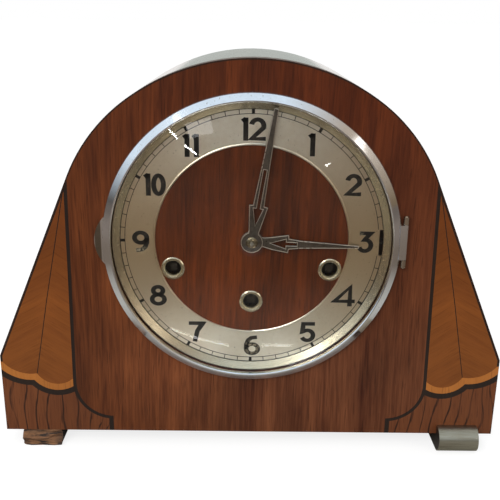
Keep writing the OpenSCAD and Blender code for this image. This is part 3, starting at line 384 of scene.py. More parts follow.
# A slow change over the sheet: darker and redder at the top, and palest at the lower left.
spot = node(tree, "SeparateXYZ", {0: place})
upper = spread(tree, spot.outputs["Z"], 0.05, 0.21)
ground = blend(tree, upper, shade(117, 69, 43), shade(100, 46, 21))
to_right = spread(tree, spot.outputs["X"], -0.09, 0.02)
paler = blend(tree, upper, shade(127, 70, 37), shade(118, 61, 30))
ground = blend(tree, to_right, paler, ground)
front_colours = (ground, shade(58, 24, 11), shade(34, 16, 9))
lacquered(tree, wooden(tree, place, front_colours, 1.1, 0.3), 0.12, 0.16)
dress(veneer_walnut, "centre_veneer")

# In each fan the joint of the two leaves leans inward as it rises: 138.2 mm from the middle
# at the floor, and 0.2 mm nearer for each mm up. The grain falls away from it at 30 degrees.
leaf_walnut, tree, place = finish("leaf_walnut")
spot = node(tree, "SeparateXYZ", {0: place})
outward = maths(tree, "ABSOLUTE", spot.outputs["X"])
joint_foot, joint_lean = 0.1382, 0.2
leaned = maths(tree, "MULTIPLY_ADD", spot.outputs["Z"], joint_lean, outward)
from_joint = maths(tree, "ABSOLUTE", maths(tree, "ADD", leaned, -joint_foot))
fall = math.radians(30)
across = maths(
    tree, "MULTIPLY_ADD", from_joint, math.sin(fall),
    maths(tree, "MULTIPLY", spot.outputs["Z"], math.cos(fall)),
)
along = maths(
    tree, "MULTIPLY_ADD", from_joint, math.cos(fall),
    maths(tree, "MULTIPLY", spot.outputs["Z"], -math.sin(fall)),
)
feather = node(tree, "CombineXYZ", {0: across, 1: spot.outputs["Y"], 2: along}).outputs[0]
leaf_top = spread(tree, spot.outputs["Z"], 0.07, 0.15)
leaf_ground = blend(tree, leaf_top, shade(134, 77, 33), shade(112, 59, 24))
grain = wooden(tree, feather, (leaf_ground, shade(92, 46, 18), shade(90, 46, 18)), 0.62, 0.2)
lacquered(tree, grain, 0.12, 0.16)
dress(leaf_walnut, "fan_leaves")

scallop_maple, tree, place = finish("scallop_maple")
band_colours = (shade(174, 108, 50), shade(148, 86, 38), shade(100, 58, 30))
lacquered(tree, wooden(tree, place, band_colours, 0.5, 0.1), 0.12, 0.16)
dress(scallop_maple, "scallop_bands")

stringing_black, tree, place = finish("stringing_black")
string_colours = (shade(44, 33, 27), shade(30, 23, 20), shade(16, 13, 12))
lacquered(tree, wooden(tree, place, string_colours, 0.8, 0.05), 0.12, 0.16)
dress(stringing_black, "stringing")

# The lower corners are cut from striped wood: dark wavy lines about seven millimetres apart.
corner_stripes, tree, place = finish("corner_stripes")
sway = cloud(tree, place, (30, 30, 22), 1)
ripple = cloud(tree, place, (320, 320, 20), 2)
spot = node(tree, "SeparateXYZ", {0: place})
shifted = maths(tree, "MULTIPLY_ADD", sway, 0.022, spot.outputs["X"])
shifted = maths(tree, "MULTIPLY_ADD", ripple, 0.0034, shifted)
stripe = 0.0066
waves = maths(tree, "SINE", maths(tree, "MULTIPLY", shifted, 2 * math.pi / stripe))
dark = maths(
    tree, "MULTIPLY", spread(tree, waves, 0.84, 0.99), spread(tree, ripple, 0.36, 0.5, 0.35, 1)
)
corner_colours = (shade(114, 66, 38), shade(86, 46, 28), shade(48, 26, 19))
grain = wooden(tree, place, corner_colours, 0.9, 0.06)
striped = blend(tree, dark, grain["Colour"], shade(48, 28, 20))
lacquered(tree, grain, 0.12, 0.16, colour=striped)
dress(corner_stripes, "corner_veneers")


# ---- The feet -----------------------------------------------------------------------------
# Two blocks of wood under the ends of the case. The right one keeps its rounded nose with a
# dull sheet-metal cover; the left one has lost both, and shows torn, bare wood.

metal_wear, given = group("metal_wear", {
    "Vector": ("Vector", None),
    "Clean": ("Color", shade(200, 200, 200)),
    "Dull": ("Color", shade(150, 145, 135)),
    "Speck": ("Color", shade(90, 80, 65)),
    "Dullness": ("Float", 0.5),
    "Smooth": ("Float", 0.12),
    "Rough": ("Float", 0.4),
}, {"Colour": "Color", "Roughness": "Float", "Height": "Float"})
# Broad patches of tarnish, finer mottling, and scattered specks where the finish is pitted.
patches = cloud(metal_wear, given[0], (60, 60, 60), 3)
mottle = cloud(metal_wear, given[0], (420, 420, 420), 3)
specks = spread(metal_wear, cloud(metal_wear, given[0], (900, 900, 900), 2), 0.68, 0.74)
tarnish = maths(
    metal_wear, "ADD",
    maths(metal_wear, "MULTIPLY", spread(metal_wear, patches, 0.35, 0.65), 0.6),
    maths(metal_wear, "MULTIPLY", spread(metal_wear, mottle, 0.35, 0.65), 0.4),
)
tarnish = maths(metal_wear, "MULTIPLY", tarnish, given["Dullness"])
coloured = blend(metal_wear, tarnish, given["Clean"], given["Dull"])
coloured = blend(
    metal_wear, maths(metal_wear, "MULTIPLY", specks, 0.6), coloured, given["Speck"]
)
node(metal_wear, "NodeGroupOutput", {
    "Colour": coloured,
    "Roughness": spread(
        metal_wear, maths(metal_wear, "ADD", tarnish, specks), 0, 1,
        given["Smooth"], given["Rough"],
    ),
    "Height": maths(metal_wear, "MULTIPLY_ADD", specks, -0.6, mottle),
})


def tarnished(tree, vector, colours, dullness, roughness):
    """Place the wear in a metal finish with its three colours."""
    return node(tree, "Group", {
        "Vector": vector,
        "Clean": colours[0],
        "Dull": colours[1],
        "Speck": colours[2],
        "Dullness": dullness,
        "Smooth": roughness[0],
        "Rough": roughness[1],
    }, node_tree=metal_wear).outputs


def from_axis(tree, place, x, z):
    """How far a place lies from a line that runs along y through (x, z), in metres.

    The first is how far it lies to the right, the second the length of what is left of the
    place when its depth is taken away.
    """
    spot = node(tree, "VectorMath", {0: place, 1: (-x, 0, -z)}).outputs[0]
    flat = node(tree, "VectorMath", {0: spot, 1: (1, 0, 1)}, operation="MULTIPLY").outputs[0]
    aside = node(tree, "SeparateXYZ", {0: flat}).outputs["X"]
    return aside, node(tree, "VectorMath", {0: flat}, operation="LENGTH").outputs["Value"]


def metal(
    name, colours, dullness, roughness, depth, *names, lines=(1, 1, 1), spun=0.0, metallic=1.0
):
    """A whole metal finish.

    Lines stretches its marks along the way it was brushed. Spun is how deep the fine rings
    are that a lathe left round the middle of the dial, in metres; such a part gets a painted
    sheen: duller and yellower to its left and right, by the square of the angle's sine.
    """
    made, tree, place = finish(name)
    clean, dull, speck = colours
    if spun:
        # Painted sheen: the clean colour turns towards the dull one to the left and right, where
        # a spun surface reflects darker.
        aside, radius = from_axis(tree, place, 0, dial_z / 1000)
        sine = maths(tree, "DIVIDE", aside, radius)
        painted_side_sheen = maths(tree, "MULTIPLY", maths(tree, "MULTIPLY", sine, sine), dullness)
        clean = blend(tree, painted_side_sheen, clean, dull)
        dullness *= 0.3
    scaled = node(tree, "VectorMath", {0: place, 1: lines}, operation="MULTIPLY").outputs[0]
    worn = tarnished(tree, scaled, (clean, dull, speck), dullness, roughness)
    height = worn["Height"]
    if spun:
        ridge = cloud(tree, node(tree, "CombineXYZ", {0: radius}).outputs[0], (2600, 0, 0), 2)
        height = maths(tree, "MULTIPLY_ADD", ridge, spun / depth, height)
    shader(tree, {
        "Base Color": worn["Colour"],
        "Roughness": worn["Roughness"],
        "Metallic": metallic,
    }, height, depth)
    dress(made, *names)
    return made


metal(
    "cover_nickel", (shade(168, 164, 150), shade(128, 122, 106), shade(84, 76, 62)),
    0.8, (0.28, 0.5), 0.00002, "foot_cover", lines=(0.25, 1, 4),
)

foot_black, tree, place = finish("foot_black")
foot_colours = (shade(46, 38, 33), shade(32, 27, 24), shade(16, 14, 13))
lacquered(tree, wooden(tree, axes(tree, place, "ZXY"), foot_colours), 0.1, 0.3)
dress(foot_black, "foot_right")


# ---- The bezel and its glass --------------------------------------------------------------
# A spun brass ring, chromed, with a pull tab on the left and a hinge on the right. It holds a
# domed glass, and the hinge's leaf is screwed to the face.

bezel_chrome = metal(
    "bezel_chrome", (shade(234, 237, 242), shade(206, 208, 212), shade(120, 112, 98)),
    0.35, (0.08, 0.24), 0.000002, "bezel_ring",
)
metal(
    "hinge_chrome", (shade(196, 186, 172), shade(150, 136, 120), shade(96, 84, 70)),
    0.5, (0.14, 0.34), 0.000002, "bezel_hinge",
)
# The tab is worn by fingers: its middle is dull and brown, and its outer edge stays bright.
tree = bezel_chrome.node_tree
spot = node(tree, "SeparateXYZ", {0: node(tree, "TexCoord").outputs["Object"]})
leftward = maths(tree, "MULTIPLY", spot.outputs["X"], -1)
tab_start, tab_edge = 0.0853, 0.0894
fingered = maths(
    tree, "MULTIPLY", spread(tree, leftward, tab_start, tab_start + 0.0005),
    spread(tree, leftward, tab_edge, tab_edge - 0.0006),
)
chrome = next(part for part in tree.nodes if part.type == "GROUP").inputs
for label, colour in (("Clean", shade(150, 144, 134)), ("Dull", shade(92, 84, 74))):
    bright = tuple(chrome[label].default_value)
    tree.links.new(blend(tree, fingered, bright, colour), chrome[label])

dial_glass, tree, place = finish("dial_glass")
smears = cloud(tree, place, (24, 24, 60), 3)
pane = node(tree, "BsdfPrincipled", {
    "Base Color": blend(tree, smears, (0.985, 0.99, 0.985, 1), (0.965, 0.975, 0.97, 1)),
    "Roughness": 0.0,
    "Transmission Weight": 1.0,
    "IOR": 1.28,
})
rays = node(tree, "LightPath")
passing = maths(tree, "MAXIMUM", rays.outputs["Is Shadow Ray"], rays.outputs["Is Diffuse Ray"])
clear = node(tree, "BsdfTransparent", {"Color": (0.95, 0.96, 0.955, 1)})
both = node(tree, "MixShader", {0: passing, 1: pane.outputs[0], 2: clear.outputs[0]})
node(tree, "OutputMaterial", {"Surface": both.outputs[0]})
dress(dial_glass, "door_glass")


# ---- The dial -----------------------------------------------------------------------------
# A bevelled ring stands round a silvered number ring with a polished bead, and a disc of
# walnut fills the middle. Three turned grommets line the winding holes.

metal(
    "sight_silver", (shade(208, 200, 178), shade(176, 160, 130), shade(130, 112, 84)),
    0.7, (0.24, 0.4), 0.000002, "sight_ring", spun=0.000003,
)
metal(
    "chapter_silver", (shade(236, 231, 217), shade(196, 175, 143), shade(104, 90, 68)),
    1.0, (0.3, 0.42), 0.00001, "chapter_ring", spun=0.00005,
)
metal(
    "grommet_silver", (shade(216, 206, 182), shade(178, 164, 134), shade(110, 94, 70)),
    0.5, (0.14, 0.35), 0.00001, "grommets",
)

dial_walnut, tree, place = finish("dial_walnut")
dial_high = spread(tree, node(tree, "SeparateXYZ", {0: place}).outputs["Z"], 0.085, 0.15)
dial_ground = blend(tree, dial_high, shade(118, 54, 17), shade(100, 45, 15))
dial_colours = (dial_ground, shade(48, 18, 5), shade(32, 13, 6))
lacquered(tree, wooden(tree, place, dial_colours, 1.05, 0.3), 0.1, 0.2, 0.000002)
dress(dial_walnut, "dial_centre")

face_y = -59.35


def shell(grid, loop=False):
    """Faces over a grid whose rows are closed outlines.

    Each point meets the next one in its row and in the row after. A loop joins the last row
    to the first; otherwise both end rows are filled.
    """
    rows, columns = grid.shape[:2]
    index = np.arange(rows * columns).reshape(rows, columns)
    near = np.vstack([index, index[:1]]) if loop else index
    far = np.roll(near, -1, axis=1)
    faces = np.stack([near[:-1], far[:-1], far[1:], near[1:]], axis=-1).reshape(-1, 4).tolist()
    if not loop:
        faces += [index[0].tolist(), index[-1].tolist()]
    return grid.reshape(-1, 3), faces


def build(name, shells, body, made, smooth=False):
    """Join shells, given in case millimetres, into one piece that faces outwards."""
    points = np.concatenate([corners for corners, _ in shells])
    starts = np.cumsum([0] + [len(corners) for corners, _ in shells[:-1]])
    faces = [
        [corner + int(start) for corner in face]
        for start, (_, part) in zip(starts, shells)
        for face in part
    ]
    mesh = bpy.data.meshes.new(name)
    mesh.from_pydata(((points + [0, face_y, 0]) / 1000).tolist(), [], faces)
    work = bmesh.new()
    work.from_mesh(mesh)
    bmesh.ops.recalc_face_normals(work, faces=work.faces)
    work.to_mesh(mesh)
    work.free()
    mesh.polygons.foreach_set("use_smooth", [smooth] * len(mesh.polygons))
    mesh.materials.append(made)
    piece = bpy.data.objects.new(name, mesh)
    bpy.context.scene.collection.objects.link(piece)
    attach(piece, body)
    return piece


def carry(path, section, loop=False, pen=(1.0, 1.0)):
    """Carry a section of (sideways, depth) points along a flat path of (x, z) points.

    At a corner the sideways direction is the sum of the two neighbouring normals times two
    over its own square, so that both sides keep their width, and the point of a sharp corner
    is held back. The pen widens the section where it lies across x or across z.
    """
    path = np.asarray(path, float)
    section = np.asarray(section, float)
    after = np.roll(path, -1, axis=0) - path
    before = path - np.roll(path, 1, axis=0)
    if not loop:
        after[-1] = before[-1]
        before[0] = after[0]
    after /= np.linalg.norm(after, axis=1, keepdims=True)
    before /= np.linalg.norm(before, axis=1, keepdims=True)
    normal = (after + before)[:, ::-1] * [-1, 1]
    normal *= 2 / np.maximum((normal ** 2).sum(axis=1, keepdims=True), 0.8)
    x = path[:, :1] + normal[:, :1] * section[:, 0] * pen[0]
    z = path[:, 1:] + normal[:, 1:] * section[:, 0] * pen[1]
    y = np.broadcast_to(section[:, 1], x.shape)
    return shell(np.stack([x, y, z], axis=-1), loop)


def arc(x, z, radius_x, radius_z, start, end, steps=24):
    """Points on an oval about (x, z), from one angle to another in degrees from the right:
    the cosine and the sine of each angle times the two radii."""
    angle = np.radians(np.linspace(start, end, steps))
    return np.stack([x + radius_x * np.cos(angle), z + radius_z * np.sin(angle)], axis=1)


dial_ink, tree, place = finish("dial_ink")
wear = cloud(tree, place, (260, 260, 260), 3)
thin = cloud(tree, place, (1500, 1500, 1500), 2)
fade = maths(tree, "MULTIPLY", spread(tree, wear, 0.5, 0.7), spread(tree, thin, 0.45, 0.65))
ink = blend(tree, fade, shade(16, 13, 11), shade(70, 60, 50))
# The ink is rubbed away inside four balls: at the foot of the 9, the 6, the head of the 3 and
# the 12. Each has its middle in metres, level with the face, and its radius in millimetres.
rubbed = 0.0
rubbed_balls = (
    (-0.0637, 0.1245, 6.5), (0.001, 0.0655, 7), (0.0618, 0.1375, 5), (-0.0075, 0.198, 4.5)
)
ball_y = -0.0594
for x, z, size in rubbed_balls:
    apart_by = node(tree, "VectorMath", {0: place, 1: (x, ball_y, z)}, operation="DISTANCE")
    spot_near = spread(tree, apart_by.outputs["Value"], 0.001 * size, 0.0006 * size)
    rubbed = maths(tree, "MAXIMUM", rubbed, spot_near)
flakes = spread(tree, cloud(tree, place, (900, 900, 900), 2), 0.46, 0.52)
ink = blend(tree, maths(tree, "MULTIPLY", rubbed, flakes), ink, shade(150, 138, 116))
shader(tree, {
    "Base Color": ink,
    "Roughness": spread(tree, wear, 0.3, 0.7, 0.35, 0.6),
    "Specular IOR Level": 0.2,
}, thin, 0.00001)

# The numbers are printed upright. Each figure is one or more strokes of a pen 2.8 mm wide
# and 2.3 mm high. Their middle lines are in millimetres from the figure's centre, before the
# figure is drawn a little larger.
figures = {
    "0": [(arc(0, 0, 2.65, 5.1, 0, 345, 24), True)],
    "1": [([[0, -6.1], [0, 6.1]], False), ([[0.2, 5.5], [-1.9, 4.1]], False)],
    "2": [(np.vstack([
        arc(-0.1, 1.85, 3.25, 3.25, 168, -20), [[-3.1, -5.0], [4.3, -5.0]]
    ]), False)],
    "3": [(np.vstack([
        [[-3.5, 5.1], [2.6, 5.1], [-0.6, 1.3]], arc(-0.3, -1.85, 3.3, 3.25, 82, -160)
    ]), False)],
    "4": [([[3.3, -6.1], [3.3, 5.6], [-5.4, -3.0], [6.2, -3.0]], False)],
    "5": [(np.vstack([
        [[4.0, 5.2], [-2.6, 5.2], [-3.1, 0.2]], arc(-0.2, -1.95, 3.3, 3.15, 130, -155)
    ]), False)],
    "6": [
        (arc(0.1, -2.2, 3.4, 2.95, 0, 345, 24), True),
        ([[-3.3, -2.2], [-3.2, 0.6], [-2.2, 3.2], [-0.4, 4.7], [2.9, 5.1]], False),
    ],
    "7": [([[-4.3, 5.2], [3.7, 5.2], [0.6, 0.4], [-0.9, -6.2]], False)],
    "8": [
        (arc(0, 2.9, 2.75, 2.25, 0, 345, 24), True),
        (arc(0, -2.4, 3.5, 2.75, 0, 345, 24), True),
    ],
}
figures["9"] = [(-np.asarray(line), loop) for line, loop in figures["6"]]
# How far each figure stands to the right in its number, and where each number stands on the
# ring, from its middle: the print isn't quite even, and lies a millimetre to the right.
apart = {"1": (0.6,), "10": (-3.4, 2.4), "11": (-3.7, 1.5), "12": (-3.7, 2.9)}
stands = {
    1: (32.4, 56.1), 2: (56.8, 33.7), 3: (65.5, 0.3), 4: (54.8, -33.1), 5: (34.2, -56.3),
    6: (0.9, -65.2), 7: (-32.4, -56.6), 8: (-54.6, -33.7), 9: (-63.7, -0.7),
    10: (-55.2, 32.7), 11: (-32.8, 55.0), 12: (-0.4, 64.4),
}
print_front, print_back = 3.92, 4.02
print_section = [[-1, print_back], [-1, print_front], [1, print_front], [1, print_back]]
pen = (1.4, 1.15)
larger = 1.04
for hour, (right, up) in stands.items():
    centre = np.array([right, dial_z + up])
    word = str(hour)
    strokes = [
        carry(np.asarray(line) * larger + centre + [shift, 0], print_section, loop, pen)
        for figure, shift in zip(word, apart.get(word, (0,)))
        for line, loop in figures[figure]
    ]
    build("number_" + word, strokes, "case", dial_ink)


# Behind its grommet each winding hole is lined by a short dull tube.
lining_section = [[-0.02, 3.9], [-0.02, 7.4], [-0.22, 7.4], [-0.22, 3.9]]
winding_holes = ((-45.6, 16.8), (45.6, 16.8), (0, 36.9))
hole_r = 5
linings = [
    carry(arc(x, dial_z - drop, hole_r, hole_r, 360, 7.5, 48), lining_section, True)
    for x, drop in winding_holes
]
lining_dull = metal(
    "lining_dull", (shade(176, 164, 134), shade(140, 128, 102), shade(90, 78, 60)),
    0.7, (0.4, 0.6), 0.00001, metallic=0.3,
)
build("hole_linings", linings, "case", lining_dull, True)


def round_dial(radius, degrees, depth):
    """Points at a radius, at degrees clockwise from twelve, at a depth behind the face: the
    sine of the angle times the radius to the right, and the cosine times it up."""
    angle = np.radians(degrees)
    radius, angle, depth = np.broadcast_arrays(radius, angle, depth)
    return np.stack([radius * np.sin(angle), depth, dial_z + radius * np.cos(angle)], axis=-1)


def ring_part(inner, outer, start, end, steps):
    """A flat printed piece between two radii and two angles, 0.1 mm thick."""
    degrees = np.linspace(start, end, steps)[:, None]
    radius = np.array([inner, inner, outer, outer])
    depth = np.array([print_back, print_front, print_front, print_back])
    return shell(round_dial(radius, degrees, depth))


# The minute track: two fine circles with a line at each minute and a block at each fifth,
# left open where the silence lever passes, at three o'clock. A half is half a width, of a
# circle in millimetres and of the rest in degrees.
track_inner, track_outer = 72.9, 75.5
circle_half = 0.18
lever_half = 6.2
line_half, block_half = 0.16, 0.65
track = [
    ring_part(radius - circle_half, radius + circle_half, 90 + lever_half, 450 - lever_half, 181)
    for radius in (track_inner, track_outer)
]
for minute in range(60):
    if abs(minute - 15) > 1:
        half = line_half if minute % 5 else block_half
        start, end = 6 * minute - half, 6 * minute + half
        track.append(ring_part(track_inner, track_outer, start, end, 3))
build("minute_track", track, "case", dial_ink)


# ---- The hands ----------------------------------------------------------------------------
# Pressed steel, darkened, with a barbed shoulder, a long slot and a raised bright edge all
# round. They sit on the centre arbor under a small brass nut.

hand_steel = metal(
    "hand_steel", (shade(110, 101, 92), shade(66, 59, 52), shade(22, 18, 15)),
    0.9, (0.3, 0.5), 0.00001, "minute_hand", "hour_hand",
)
metal(
    "nut_brass", (shade(156, 142, 116), shade(106, 94, 76), shade(50, 42, 32)),
    0.7, (0.2, 0.4), 0.00001, "hand_nut", spun=0.00003,
)
rim_steel = metal(
    "rim_steel", (shade(226, 214, 200), shade(178, 166, 150), shade(100, 88, 74)),
    0.5, (0.25, 0.45), 0.00001,
)
hub_r = 6.3


def hand(name, barb, bar_end, length, thin, bore, front, clock, body):
    """A pressed hand of 1 mm steel and its raised edge.

    The plate is a hub ring and an arrow. The arrow's skin runs between two outlines with the
    same number of points, its outside and its pierced hole, on the front and on the back. The
    edge is a low ridge carried just inside the outside and round the hole. All of it is drawn
    upright, then turned to its hour. Barb, bar_end and length are how far the barb, the end
    of the slot and the tip lie from the middle, and thin is half the tip's width. Front is
    the depth of its face, all in millimetres, and clock its angle in degrees from twelve.
    """
    root = 3.0
    join = math.sqrt(hub_r ** 2 - root ** 2)
    left = np.array([
        [-root, hub_r + 0.6], [-5.4, barb], [-3.2, barb + 0.4], [-2.3, bar_end + 2],
        [-thin, length],
    ])
    outside = np.vstack([[-root, root], left, left[::-1] * [-1, 1], [root, root]])
    top = barb - 1.5
    half_hole = np.array([
        [-0.1, hub_r + 4.2], [-2.7, top], [-0.9, top], [-0.9, bar_end - 1], [-0.9, bar_end]
    ])
    pierced = np.vstack([[-0.05, hub_r + 4.2], half_hole])
    pierced = np.vstack([pierced, pierced[::-1] * [-1, 1]])
    # The arrow is a hair thinner than the hub ring, so that no face of one lies in the other's.
    rows = [
        np.insert(edge, 1, depth, axis=1)
        for edge, depth in (
            (outside, front + 0.01), (outside, front + 0.99),
            (pierced, front + 0.99), (pierced, front + 0.01),
        )
    ]
    arrow = shell(np.stack(rows, axis=1), True)
    ring_section = [
        [-0.02, front], [-0.02, front + 1], [bore - hub_r, front + 1], [bore - hub_r, front]
    ]
    turn = math.degrees(math.atan2(join, root))
    hub = arc(0, 0, hub_r, hub_r, turn, -180 - turn, 28)[1:-1]
    low = front + 0.03
    inside = [[-0.02, low], [-0.1, front - 0.16], [-0.32, front - 0.22], [-0.48, low]]
    around = [[0.02, low], [0.1, front - 0.14], [0.3, front - 0.2], [0.44, low]]
    edge = np.vstack([[-root, join], left, left[::-1] * [-1, 1], [root, join], hub])
    hole = np.vstack([[0, hub_r + 4.2], half_hole[[1, 2, 4]], half_hole[[4, 2, 1]] * [-1, 1]])
    lean = math.radians(clock)
    turned = np.array([
        [math.cos(lean), 0, -math.sin(lean)], [0, 1, 0], [math.sin(lean), 0, math.cos(lean)]
    ])
    plate, rim = (
        [(points @ turned + [0, 0, dial_z], faces) for points, faces in shells]
        for shells in (
            [arrow, carry(arc(0, 0, hub_r, hub_r, 360, 5, 72), ring_section, True)],
            [carry(edge, inside, True), carry(hole, around, True)],
        )
    )
    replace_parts(build(name + "_pressed", plate, body, hand_steel), name)
    build(name + "_edge", rim, body, rim_steel)


hand(
    "minute_hand", barb=22, bar_end=43, length=77.3, thin=1.3, bore=1.6, front=0.3, clock=9.3,
    body="minute_arbor",
)
hand(
    "hour_hand", barb=21, bar_end=26, length=61.5, thin=0.8, bore=2.8, front=2.0, clock=92.1,
    body="hour_pipe",
)


# ---- The movement -------------------------------------------------------------------------
# Brass plates and wheels on steel arbors, four brass hammers, and gong rods set in an iron
# block on the base board. It is screwed to the case by four brackets.

brass_colours = (shade(206, 170, 96), shade(172, 134, 70), shade(104, 74, 38))
steel_colours = (shade(176, 176, 174), shade(140, 138, 134), shade(96, 84, 70))
metal(
    "movement_brass", brass_colours, 0.6, (0.18, 0.42), 0.00001,
    "back_plate", "front_plate", "pillars", "pin_drum", "strike_fly", "chime_fly", "pendulum",
    "hammer_1", "hammer_2", "hammer_3", "hammer_4", "gong_rods", "rear_door_hinge",
    "rear_door_knob",
)
metal(
    "movement_steel", steel_colours, 0.6, (0.22, 0.45), 0.00001,
    "dial_plate", "cannon_pinion", "movement_brackets", "screws", "rear_studs", "anchor",
)
# The winding arbors and the silence lever are oiled steel whose colour is also painted dark, as
# painted shade for the shade deep in the winding holes and in the lever's slot.
metal(
    "oiled_and_shaded_steel", (shade(70, 66, 60), shade(40, 36, 32), shade(20, 17, 14)),
    0.9, (0.35, 0.6), 0.00001, "going_arbor", "strike_arbor", "chime_arbor", "silence_lever",
)
metal(
    "cast_iron", (shade(74, 72, 70), shade(48, 46, 44), shade(92, 62, 42)),
    0.9, (0.45, 0.7), 0.00006, "gong_block",
)

# A wheel is brass and its arbor steel: the finish changes 2.6 mm from the wheel's own axis.
arbor_r = 0.0026
wheels = (
    "centre_wheel", "hour_wheel", "minute_wheel", "second_wheel", "third_wheel",
    "escape_wheel", "going_barrel", "strike_barrel", "chime_barrel", "strike_wheel",
    "chime_wheel",
)
for name in wheels:
    made, tree, place = finish(name + "_metal")
    low, high = (np.array(corner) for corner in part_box(name))
    axle = (low + high) / 2
    _, radius = from_axis(tree, place, axle[0], axle[2])
    brassy = spread(tree, radius, arbor_r - 0.0001, arbor_r + 0.0001)
    colours = [
        blend(tree, brassy, steel, brass) for steel, brass in zip(steel_colours, brass_colours)
    ]
    worn = tarnished(tree, place, colours, 0.6, (0.18, 0.42))
    shader(tree, {
        "Base Color": worn["Colour"],
        "Roughness": worn["Roughness"],
        "Metallic": 1.0,
    }, worn["Height"], 0.00001)
    dress(made, name)


# ---- The broken foot ----------------------------------------------------------------------
# The left foot once had a rounded nose like the right one. It has snapped off at the face of
# the case, and left torn fibres of pale bare wood with dark gaps between them.

torn_wood, tree, place = finish("torn_wood")
torn_colours = (shade(134, 94, 60), shade(92, 60, 38), shade(50, 33, 23))
grain = wooden(tree, axes(tree, place, "YZX"), torn_colours, 1.0, 0.2)
spot = node(tree, "SeparateXYZ", {0: place})
face = face_y / 1000
# Painted shade: the torn end is darkened where it lies deeper behind the face, in the gaps
# between its fibres, and on its right side, which is turned from the light.
sunk = spread(tree, spot.outputs["Y"], face - 0.0008, face + 0.0018)
front = spread(tree, spot.outputs["Y"], face + 0.006, face + 0.004)
layers = spread(tree, cloud(tree, place, (160, 160, 900), 2), 0.5, 0.64)
shaded = spread(tree, spot.outputs["X"], -0.121, -0.115, 0, 0.9)
painted_shade = maths(tree, "MAXIMUM", maths(tree, "MAXIMUM", sunk, layers), shaded)
painted_shade = maths(tree, "MULTIPLY", painted_shade, front)
torn = blend(tree, painted_shade, grain["Colour"], shade(44, 30, 22))
# Behind the torn end the foot is still painted black, like the whole foot on the right.
painted = spread(tree, spot.outputs["Y"], face + 0.0012, face + 0.0020)
shader(tree, {
    "Base Color": blend(tree, painted, torn, shade(30, 26, 23)),
    "Roughness": spread(tree, painted, 0, 1, 0.8, 0.35),
}, grain["Height"], 0.0001)


def lumps(x, z, cell_x, cell_z, seed):
    """Smooth random heights from 0 to 1.

    A table holds a chance number for each corner of a grid of cells. Between them the
    heights are blended by three squares less two cubes of the way across, which is level at
    both ends.
    """
    table = np.random.default_rng(seed).random((64, 64))
    across, up = x / cell_x + 64, z / cell_z + 64
    column, row = np.floor(across).astype(int), np.floor(up).astype(int)
    s, t = across - column, up - row
    s, t = s * s * (3 - 2 * s), t * t * (3 - 2 * t)
    corner = {
        (i, j): table[(column + i) % 64, (row + j) % 64] for i in (0, 1) for j in (0, 1)
    }
    near = corner[0, 0] * (1 - s) + corner[1, 0] * s
    far = corner[0, 1] * (1 - s) + corner[1, 1] * s
    return near * (1 - t) + far * t


low, high = (np.array(corner) * 1000 - [0, face_y, 0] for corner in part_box("foot_left"))
middle, half = (low + high) / 2, (high - low) / 2
# The stump's outline is an oval made nearly square: a small power is taken of its cosine and
# of its sine. Rings of it shrink to the middle of the torn end.
angle = np.linspace(0, 2 * math.pi, 160, endpoint=False)
aside, up = np.cos(angle), np.sin(angle)
squaring = 0.16
edge_x = np.sign(aside) * np.abs(aside) ** squaring * half[0]
edge_z = np.sign(up) * np.abs(up) ** squaring * half[2]
share = np.linspace(0.01, 1, 48)[:, None] ** 0.8
end_x, end_z = edge_x * share, edge_z * share
# Patchy ridges and fine splinters cut into the end, and its lowest layers stand proud of it,
# both by up to 2.6 mm.
most = 2.6
ridges = lumps(end_x, end_z, 9, 1.5, 3)
splinters = lumps(end_x, end_z, 2.6, 0.8, 5)
deep = 3.4 * ridges * (0.45 + 0.55 * lumps(end_x, end_z, 5, 3, 8)) + 1.2 * splinters ** 2
raised = (end_z + half[2]) / (2 * half[2])
layer = lumps(end_x, end_z, 14, 2.2, 21) * np.clip(1.1 - raised, 0, 1)
deep = low[1] - most * np.clip(layer * 2.2, 0, 1) + np.clip(0.7 * deep - 0.3, 0.0, most)
end = np.stack([end_x + middle[0], deep, end_z + middle[2]], axis=-1)
back = np.linspace(0, 1, 14)[1:, None] ** 1.5
chip = 1 - 0.03 * (1 - back) * lumps(edge_x, edge_z, 1.4, 0.9, 11)
sides = np.stack([
    edge_x * chip + middle[0],
    deep[-1] + (high[1] - deep[-1]) * back,
    edge_z * chip + middle[2],
], axis=-1)
stump = build(
    "foot_left_broken", [shell(np.concatenate([end, sides]))], "case", torn_wood
)
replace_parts(stump, "foot_left")


# ---- The edge line ------------------------------------------------------------------------
# The front edge of the arch and of the slanting sides is dark where the veneer ends: partly a
# dark stain, and partly painted shade where the rounded edge turns from the light. The dark
# line runs round the outermost points of the veneers, 0.83 mm wide.

edge_stain_and_shade, tree, place = finish("edge_stain_and_shade")
lacquered(tree, wooden(tree, place, (shade(58, 36, 26), shade(34, 22, 17), shade(20, 14, 12))))
rim_points = np.concatenate([
    np.array([v.co[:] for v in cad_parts[name].data.vertices]) * 1000
    for name in ("centre_veneer", "fan_leaves", "stringing")
])
rim_points = rim_points[rim_points[:, 1] < face_y + 0.05][:, [0, 2]]
hull = rim_points[mathutils.geometry.convex_hull_2d(rim_points.tolist())]
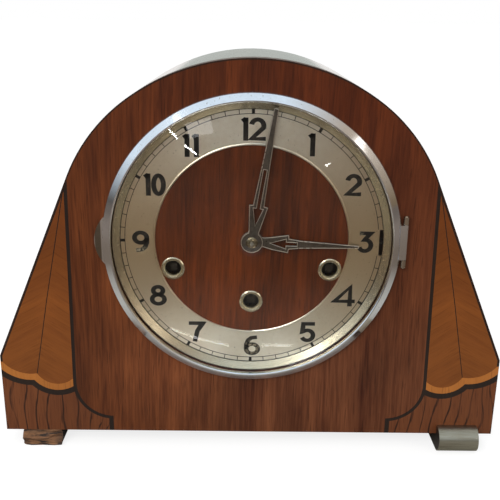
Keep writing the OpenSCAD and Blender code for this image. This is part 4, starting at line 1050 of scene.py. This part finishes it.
# The line starts 47 mm up, and its points are put in order by their bearing from (0, 60).
hull = hull[hull[:, 1] > 47]
bearing = np.arctan2(hull[:, 1] - 60, hull[:, 0])
hull = hull[np.argsort(np.where(bearing < -math.pi / 2, bearing + 2 * math.pi, bearing))]
hull = hull[np.append(True, np.linalg.norm(np.diff(hull, axis=0), axis=1) > 0.05)]
flat_line = [[0.02, 0.05], [0.02, -0.04], [0.85, -0.04], [0.85, 0.05]]
build("edge_line", [carry(hull, flat_line)], "case", edge_stain_and_shade)


# ---- The floor ----------------------------------------------------------------------------
# A wide white sheet of card under the clock, just uneven enough that its light isn't dead
# flat. It lies loose, and belongs to the studio.

floor_white, tree, place = finish("floor_white")
straight, mirrored = sight(tree)
behind = spread(tree, node(tree, "SeparateXYZ", {0: place}).outputs["Y"], 0.0, 0.15)
mirrored = maths(tree, "MULTIPLY", mirrored, behind)
lit = maths(tree, "MULTIPLY", maths(tree, "MAXIMUM", straight, mirrored), 0.8)
sheet_grey = blend(
    tree, cloud(tree, place, (3, 3, 3), 2), (0.26, 0.26, 0.26, 1), (0.28, 0.28, 0.28, 1)
)
# Shiny things show it pale close to the clock, and a dark brown bench further away.
away = node(tree, "VectorMath", {0: place}, operation="LENGTH").outputs["Value"]
pale, brown, far_off = (0.43, 0.42, 0.38, 1), (0.15, 0.118, 0.092, 1), (0.19, 0.155, 0.13, 1)
bench = blend(tree, spread(tree, away, 0.2, 0.36), pale, brown)
bench = blend(tree, spread(tree, away, 0.5, 0.7), bench, far_off)
rays = node(tree, "LightPath").outputs
shader(tree, {
    "Base Color": blend(tree, rays["Is Glossy Ray"], sheet_grey, bench),
    "Roughness": 0.9,
    "Specular IOR Level": 0.0,
    "Emission Color": node(tree, "CombineColor", {0: lit, 1: lit, 2: lit}).outputs[0],
    "Emission Strength": 1.0,
})
reach = 30.0
sheet = bpy.data.meshes.new("floor")
corners = np.array([[-1, -1, 0], [1, -1, 0], [1, 1, 0], [-1, 1, 0]]) * reach
sheet.from_pydata(corners.tolist(), [], [[0, 1, 2, 3]])
sheet.materials.append(floor_white)
floor = bpy.data.objects.new("floor", sheet)
bpy.context.scene.collection.objects.link(floor)
